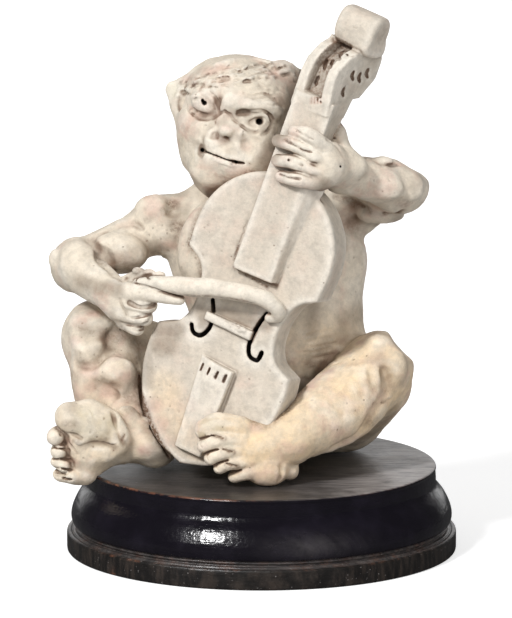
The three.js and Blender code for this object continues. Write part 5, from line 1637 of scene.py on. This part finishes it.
class PlinthSettings(bpy.types.PropertyGroup):
    """Fineness and colours of the plinth."""

    sides: bpy.props.IntProperty(
        name="Sides", description="Faces round the plinth", default=192, min=48, max=512,
    )
    black: colour_setting("Black", "Colour of the polish", (0.005, 0.004, 0.007))
    # This grey also serves the painted reflection on the top and the painted sheen on the bulge.
    dust_and_sheen: colour_setting("Dust", "Colour of the dust on the top", (0.36, 0.33, 0.32))
    wood: colour_setting("Bare wood", "Colour where the polish is rubbed away", (0.30, 0.11, 0.05))


class StageSettings(bpy.types.PropertyGroup):
    """Camera and lights."""

    height: bpy.props.FloatProperty(
        name="Camera height", description="Angle of the camera above the floor", subtype="ANGLE",
        default=SIGHT_DOWN, min=0, max=1.5,
    )
    distance: bpy.props.FloatProperty(
        name="Camera distance", description="From the camera to the middle of the object", unit="LENGTH",
        default=SIGHT_REACH * MM, min=0.3, max=10,
    )
    key: bpy.props.FloatProperty(
        name="Key light", description="Strength of the soft light from the upper left",
        default=2.42, min=0, max=20,
    )
    fill: bpy.props.FloatProperty(
        name="Fill light", description="Strength of the weaker light from the right",
        default=1.08, min=0, max=20,
    )
    key_softness: bpy.props.FloatProperty(
        name="Key softness", description="Angle that the key light covers", subtype="ANGLE",
        default=math.radians(9), min=0, max=1.5,
    )
    room: bpy.props.FloatProperty(
        name="Room light", description="Strength of the light from all round", default=0.38, min=0, max=4,
    )
    sheen: bpy.props.FloatProperty(
        name="Room in reflections", description="Strength of the room in the polish",
        default=0.05, min=0, max=4,
    )


# Operators


class IMP_OT_figure(bpy.types.Operator):
    """Model the imp with its bow in clay"""

    bl_idname = "imp.make_figure"
    bl_label = "Imp"

    def execute(self, context):
        settings = context.scene.imp_clay
        clay, strokes = figure_block(settings.grain / MM)
        points, quads = skin(clay)
        lumps = sum(height * lattice_noise(points, size, seed) for height, size, seed in FIGURE_LUMPS)
        points = points + normals_of(points, quads) * lumps[:, None]
        piece = new_object("imp_figure", points, quads, clay_material("imp_clay", settings))
        fewer_faces(piece, settings.faces, FINE_BALLS)
        hollow_and_edge_masks(piece, clay)
        paint_masks(piece, strokes, FIGURE_MASKS)
        touching(piece)
        write_tan(piece)
        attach(piece, "root")
        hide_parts("imp_with_cello")
        return {"FINISHED"}


def touching(piece):
    """Dirt that has settled, and painted shade, along the line where the imp meets the cello."""
    points = co_of(piece)
    gap = np.abs(cello_block(TOUCH_CELL).sample(to_cello(points)))
    dirt = np.clip(1.2 - gap / TOUCH_REACH, 0, 1) * (0.65 + 0.35 * lattice_noise(points, 4, 9))
    layer = piece.data.attributes["stain"].data
    stain = np.zeros(len(points), np.float32)
    layer.foreach_get("value", stain)
    layer.foreach_set("value", np.maximum(stain, dirt).astype(np.float32))


def write_tan(piece):
    """The legs and feet are a warmer clay."""
    points = co_of(piece)
    tan = np.zeros(len(points))
    for centre, reach, share in TAN_BALLS:
        gap = np.linalg.norm(points - vec(centre), axis=1)
        tan = np.maximum(tan, share * np.clip(1.4 - gap / reach, 0, 1))
    tan = tan * np.clip((TAN_TOP - points[:, 2]) / TAN_FADE, 0, 1)
    write_mask(piece, "tan", tan)


def cello_hole_shade_and_stains(piece, strokes):
    """Black in the sound holes as painted shade, and brown in the slits, in the pegbox and along the hand's
    strokes.
    """
    u, v, n = to_cello(co_of(piece)).T
    black = np.zeros(len(u))
    for hole in SOUND_HOLES:
        inside = stroke_distance(u, v, hole, HOLE_WIDTH) < 0.2
        black = np.maximum(black, inside * np.clip((-0.1 - n) / 0.3, 0, 1) * (n > -4))
    write_mask(piece, "black", black)
    brown = np.zeros(len(u))
    for line in TAIL_SLITS:
        inside = stroke_distance(u, v, line, SLIT_WIDTH) < 0.2
        brown = np.maximum(brown, 0.8 * inside * (n < tail_top(u) - 0.1) * (n > -0.2))
    front, across = twisted(u, v, n)
    in_slot = (np.abs(across) < PEG_SLOT_WIDTH / 2 + 0.15) * (v > NUT_HEIGHT + 1) * (v < 76) * (front > -4.5)
    brown = np.maximum(brown, in_slot * np.clip((4.4 - front) / 2, 0, 0.6))
    paint_masks(piece, strokes, ("stain",), to_cello, brown)


class IMP_OT_cello(bpy.types.Operator):
    """Model the cello with its fingerboard, pegbox and scroll"""

    bl_idname = "imp.make_cello"
    bl_label = "Cello"

    def execute(self, context):
        settings = context.scene.imp_clay
        clay = cello_block(CELLO_CELL)
        turn = CELLO_TURNED
        hand = Hand(clay, Axes(turn @ (SHEET.origin - CELLO.origin), turn @ SHEET.x, turn @ SHEET.y))
        cello_marks(hand)
        points, quads = skin(clay)
        height, size, seed = CELLO_LUMPS
        points = points + normals_of(points, quads) * height * lattice_noise(points, size, seed)[:, None]
        points = CELLO.origin + points @ turn
        material = clay_material("cello_clay", settings, Blush_amount=0.2, Clay=(*settings.cello, 1))
        piece = new_object("cello", points, quads, material)
        fewer_faces(piece, settings.faces)
        hollow_and_edge_masks(piece, clay, lambda p, n: (to_cello(p), n @ turn.T))
        paint_masks(piece, hand.paint, CELLO_MASKS, to_cello)
        cello_hole_shade_and_stains(piece, hand.paint)
        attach(piece, "root")
        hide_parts("imp_with_cello")
        return {"FINISHED"}


def soften(points):
    """Every corner of a line is cut back a little, so that it shades as a small round."""
    points = [vec(p) for p in points]
    out = [points[0]]
    for before, here, after in zip(points, points[1:], points[2:]):
        out.append(here + unit(before - here) * min(SOFT_CORNER, np.linalg.norm(before - here) / 2.5))
        out.append(here + unit(after - here) * min(SOFT_CORNER, np.linalg.norm(after - here) / 2.5))
    return [*out, points[-1]]


def plinth_section():
    """Radius and height of the turned section, from the foot's edge up to the middle of the top."""
    seam = FOOT_HEIGHT + GROOVE_HEIGHT
    wall = ((0.6, 0), (0.1, 0.2), (0, 0.7))
    ledge = ((0, -0.7), (0.15, -0.2), (0.6, 0), (1, 0), (1.2, -0.25), (1.5, -0.2), (1.6, 0.25))
    groove = ((0.5, FOOT_HEIGHT + 0.3), (0, FOOT_HEIGHT + 0.3), (0, seam))
    bead = ((0.45, 0.1), (0.6, 0.35), (0.45, 0.6), (0.3, 0.7))
    foot_part = [(FOOT_RADIUS - back, z) for back, z in wall]
    foot_part += [(FOOT_RADIUS - back, FOOT_HEIGHT + up) for back, up in ledge]
    foot_part += [(GROOVE_RADIUS + out, z) for out, z in groove]
    foot_part += [(GROOVE_RADIUS + out, seam + up) for out, up in bead]
    bulge = curve_through(
        [
            (GROOVE_RADIUS + 0.45, seam + 0.8),
            (BULGE_RADIUS - 0.3, seam + 1.3),
            (BULGE_RADIUS + 0.05, BULGE_CENTRE - 0.6),
            (BULGE_RADIUS - 0.4, BULGE_CENTRE + 1.6),
            (BULGE_RADIUS - 1.75, BULGE_CENTRE + 4.4),
            (TOP_RADIUS + 0.65, NECK_HEIGHT - 1.2),
            (TOP_RADIUS + 0.05, NECK_HEIGHT),
            (TOP_RADIUS, NECK_HEIGHT + 1.2),
            (TOP_RADIUS - 0.15, PLINTH_HEIGHT - 1),
        ],
        LINE_PARTS,
    )
    rim = [(TOP_RADIUS - back, PLINTH_HEIGHT - drop) for back, drop in RIM_ROUND]
    inward = [(r, PLINTH_HEIGHT) for r in np.linspace(TOP_RADIUS - 1.6, 1, 20)]
    return np.vstack([soften(foot_part), bulge, rim, inward])


def plinth_masks(piece):
    """Dust lies on the top and in the groove, a painted reflection lightens the top's right side, a painted
    sheen the bulge's front right, and the rims are rubbed through to the wood.
    """
    points = co_of(piece)
    x, y, z = points.T
    radius = np.hypot(x, y)
    top = np.clip((z - PLINTH_HEIGHT + 0.3) / 0.25, 0, 1)
    rim = np.exp(-(((radius - TOP_RADIUS + 0.2) / 0.28) ** 2)) * (z > PLINTH_HEIGHT - 0.5)
    foot = np.clip((FOOT_HEIGHT + 0.2 - z) / 0.3, 0, 1)
    # Painted reflection: the top is lighter towards the right, where the backdrop would mirror in it.
    far_right = np.clip((x - 4) / 30, 0, 1) * np.clip((radius - 12) / 20, 0, 1)
    band = np.clip((z - FOOT_HEIGHT + 0.5) / 0.3, 0, 1) * np.clip((FOOT_HEIGHT + 1.9 - z) / 0.5, 0, 1)
    band = band * (radius < FOOT_RADIUS - 0.3)
    # Painted sheen: a broad pale patch on the bulge's front right, where a wide light would reflect.
    painted_sheen = 0.07 * np.exp(-(((x - 12) / 11) ** 2) - ((z - BULGE_CENTRE - 0.6) / 2.6) ** 2) * (y < 0)
    dull = np.maximum(painted_sheen, np.maximum(foot * 0.02, band * 0.14))
    write_mask(piece, "dust_and_sheen", np.maximum(top * (0.1 + 0.74 * far_right), dull))
    left = np.clip((8 - x) / 24, 0.08, 1)
    rim = rim * left
    edges = 0.5 * np.exp(-(((z - FOOT_HEIGHT + 0.15) / 0.3) ** 2)) * (radius > FOOT_RADIUS - 0.7)
    ledge = 0.18 * band * np.clip(lattice_noise(points, 2.4, 8) + 0.2, 0, 1)
    chips = 0.8 * left * foot * np.clip(5 * lattice_noise(points, 1.7, 12) - 3.4, 0, 1)
    worn = rim * (0.4 + 0.6 * lattice_noise(points, 7, 4)) + edges * lattice_noise(points, 4, 6)
    write_mask(piece, "worn", np.maximum(worn, np.maximum(ledge, chips)))
    write_mask(piece, "matt", np.maximum(top, np.maximum(foot, band * 0.8)))


class IMP_OT_plinth(bpy.types.Operator):
    """Turn the black plinth"""

    bl_idname = "imp.make_plinth"
    bl_label = "Plinth"

    def execute(self, context):
        settings = context.scene.imp_plinth
        section = plinth_section()
        sides = settings.sides
        angle = np.arange(sides) * 2 * math.pi / sides
        ring = np.stack([np.cos(angle), np.sin(angle)], 1)
        points = np.concatenate([np.column_stack([ring * r, np.full(sides, z)]) for r, z in section])
        faces = []
        for low in range(0, (len(section) - 1) * sides, sides):
            for n in range(sides):
                m = (n + 1) % sides
                faces.append((low + n, low + m, low + sides + m, low + sides + n))
        piece = new_object("turned_plinth", points, faces, polish_material(settings))
        build = bmesh.new()
        build.from_mesh(piece.data)
        bmesh.ops.holes_fill(build, edges=[edge for edge in build.edges if edge.is_boundary], sides=0)
        bmesh.ops.recalc_face_normals(build, faces=build.faces)
        build.to_mesh(piece.data)
        build.free()
        smooth(piece)
        plinth_masks(piece)
        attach(piece, "root")
        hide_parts("plinth")
        return {"FINISHED"}


def studio_world(settings):
    """White behind the object, with less light from it and a darker room in reflections."""
    world = bpy.data.worlds.new("studio")
    world.use_nodes = True
    w = Wires(world.node_tree)
    path = w.node("LightPath")
    light = w.node("Mix", data_type="FLOAT")
    w.link(path.outputs["Is Glossy Ray"], light.inputs[0])
    light.inputs[2].default_value = settings.room
    way = w.node("SeparateXYZ")
    w.link(w.node("TexCoord").outputs["Generated"], way.inputs[0])
    behind = w.times(w.range(way.outputs["Y"], 0.75, 0.95), w.range(way.outputs["Z"], 0.7, 0.3))
    w.link(w.plus(w.times(behind, 1.1), settings.sheen), light.inputs[3])
    seen = w.node("Mix", data_type="FLOAT")
    w.link(path.outputs["Is Camera Ray"], seen.inputs[0])
    w.link(light.outputs[0], seen.inputs[2])
    seen.inputs[3].default_value = 1.0
    background = world.node_tree.nodes["Background"]
    background.inputs["Color"].default_value = (1, 1, 1, 1)
    w.link(seen.outputs[0], background.inputs["Strength"])
    return world


# Greys of the floor: as the camera sees it, as it lights the object, and as the polish mirrors it.
FLOOR_SEEN = (0.74, 0.74, 0.74, 1)
FLOOR_LIT = (0.42, 0.42, 0.42, 1)
FLOOR_MIRRORED = (0.06, 0.06, 0.06, 1)


def floor_material():
    """Pale to the eye, greyer for the light it throws back, and nearly dark in the polish."""
    material, w, shader = principled("pale_floor")
    path = w.node("LightPath")
    plain_view = path.outputs["Is Camera Ray"]
    mirrored = path.outputs["Is Glossy Ray"]
    ground = w.mix(mirrored, FLOOR_LIT, FLOOR_MIRRORED)
    w.link(w.mix(plain_view, ground, FLOOR_SEEN), shader.inputs["Base Color"])
    shader.inputs["Emission Color"].default_value = (1, 1, 1, 1)
    glow = w.math("SUBTRACT", 0.1, w.times(mirrored, 0.09))
    w.link(w.plus(w.times(plain_view, 0.46), glow), shader.inputs["Emission Strength"])
    shader.inputs["Roughness"].default_value = 0.9
    return material


class IMP_OT_stage(bpy.types.Operator):
    """Set the floor, the lights and the camera"""

    bl_idname = "imp.make_stage"
    bl_label = "Stage"

    def execute(self, context):
        scene = context.scene
        settings = scene.imp_stage
        corners = [(-FLOOR_HALF, FLOOR_FRONT, 0), (FLOOR_HALF, FLOOR_FRONT, 0)]
        corners += [(FLOOR_HALF, FLOOR_BACK, 0), (-FLOOR_HALF, FLOOR_BACK, 0)]
        new_object("floor", corners, [(0, 1, 2, 3)], floor_material())
        data = bpy.data.cameras.new("camera")
        data.sensor_fit = "VERTICAL"
        data.sensor_height = SENSOR_HEIGHT
        data.lens = SENSOR_HEIGHT * PIXELS_PER_MM * SIGHT_REACH / PICTURE_HEIGHT
        camera = bpy.data.objects.new("camera", data)
        away = Vector((0, -math.cos(settings.height), math.sin(settings.height)))
        camera.location = Vector(SHEET_MIDDLE) * MM + away * settings.distance
        camera.rotation_euler = away.to_track_quat("Z", "Y").to_euler()
        scene.collection.objects.link(camera)
        scene.camera = camera
        for name, way, strength, widening in (
            ("key", KEY_FROM, settings.key, 1),
            ("fill", FILL_FROM, settings.fill, FILL_WIDENING),
        ):
            sun = bpy.data.lights.new(name, "SUN")
            sun.energy = strength
            sun.angle = settings.key_softness * widening
            light = bpy.data.objects.new(name, sun)
            light.rotation_euler = Vector(way).to_track_quat("Z", "Y").to_euler()
            light.location = Vector(way) * LIGHT_REACH
            light.visible_glossy = name == "key"
            scene.collection.objects.link(light)
        scene.world = studio_world(settings)
        scene.view_settings.view_transform = "Standard"
        return {"FINISHED"}


class IMP_PT_panel(bpy.types.Panel):
    """One button for each part of the scene."""

    bl_label = "Clay imp"
    bl_idname = "IMP_PT_panel"
    bl_space_type = "VIEW_3D"
    bl_region_type = "UI"
    bl_category = "Clay imp"

    def draw(self, context):
        column = self.layout.column()
        for maker in MAKERS:
            column.operator(maker.bl_idname)


SETTINGS = {"imp_clay": ClaySettings, "imp_plinth": PlinthSettings, "imp_stage": StageSettings}
MAKERS = (IMP_OT_figure, IMP_OT_cello, IMP_OT_plinth, IMP_OT_stage)


def register():
    for item in (*SETTINGS.values(), *MAKERS, IMP_PT_panel):
        bpy.utils.register_class(item)
    for name, settings in SETTINGS.items():
        setattr(bpy.types.Scene, name, bpy.props.PointerProperty(type=settings))


def unregister():
    for name in SETTINGS:
        delattr(bpy.types.Scene, name)
    for item in reversed((*SETTINGS.values(), *MAKERS, IMP_PT_panel)):
        bpy.utils.unregister_class(item)


def main():
    register()
    bpy.ops.imp.make_figure()
    bpy.ops.imp.make_cello()
    bpy.ops.imp.make_plinth()
    bpy.ops.imp.make_stage()


if __name__ == "__main__":
    main()
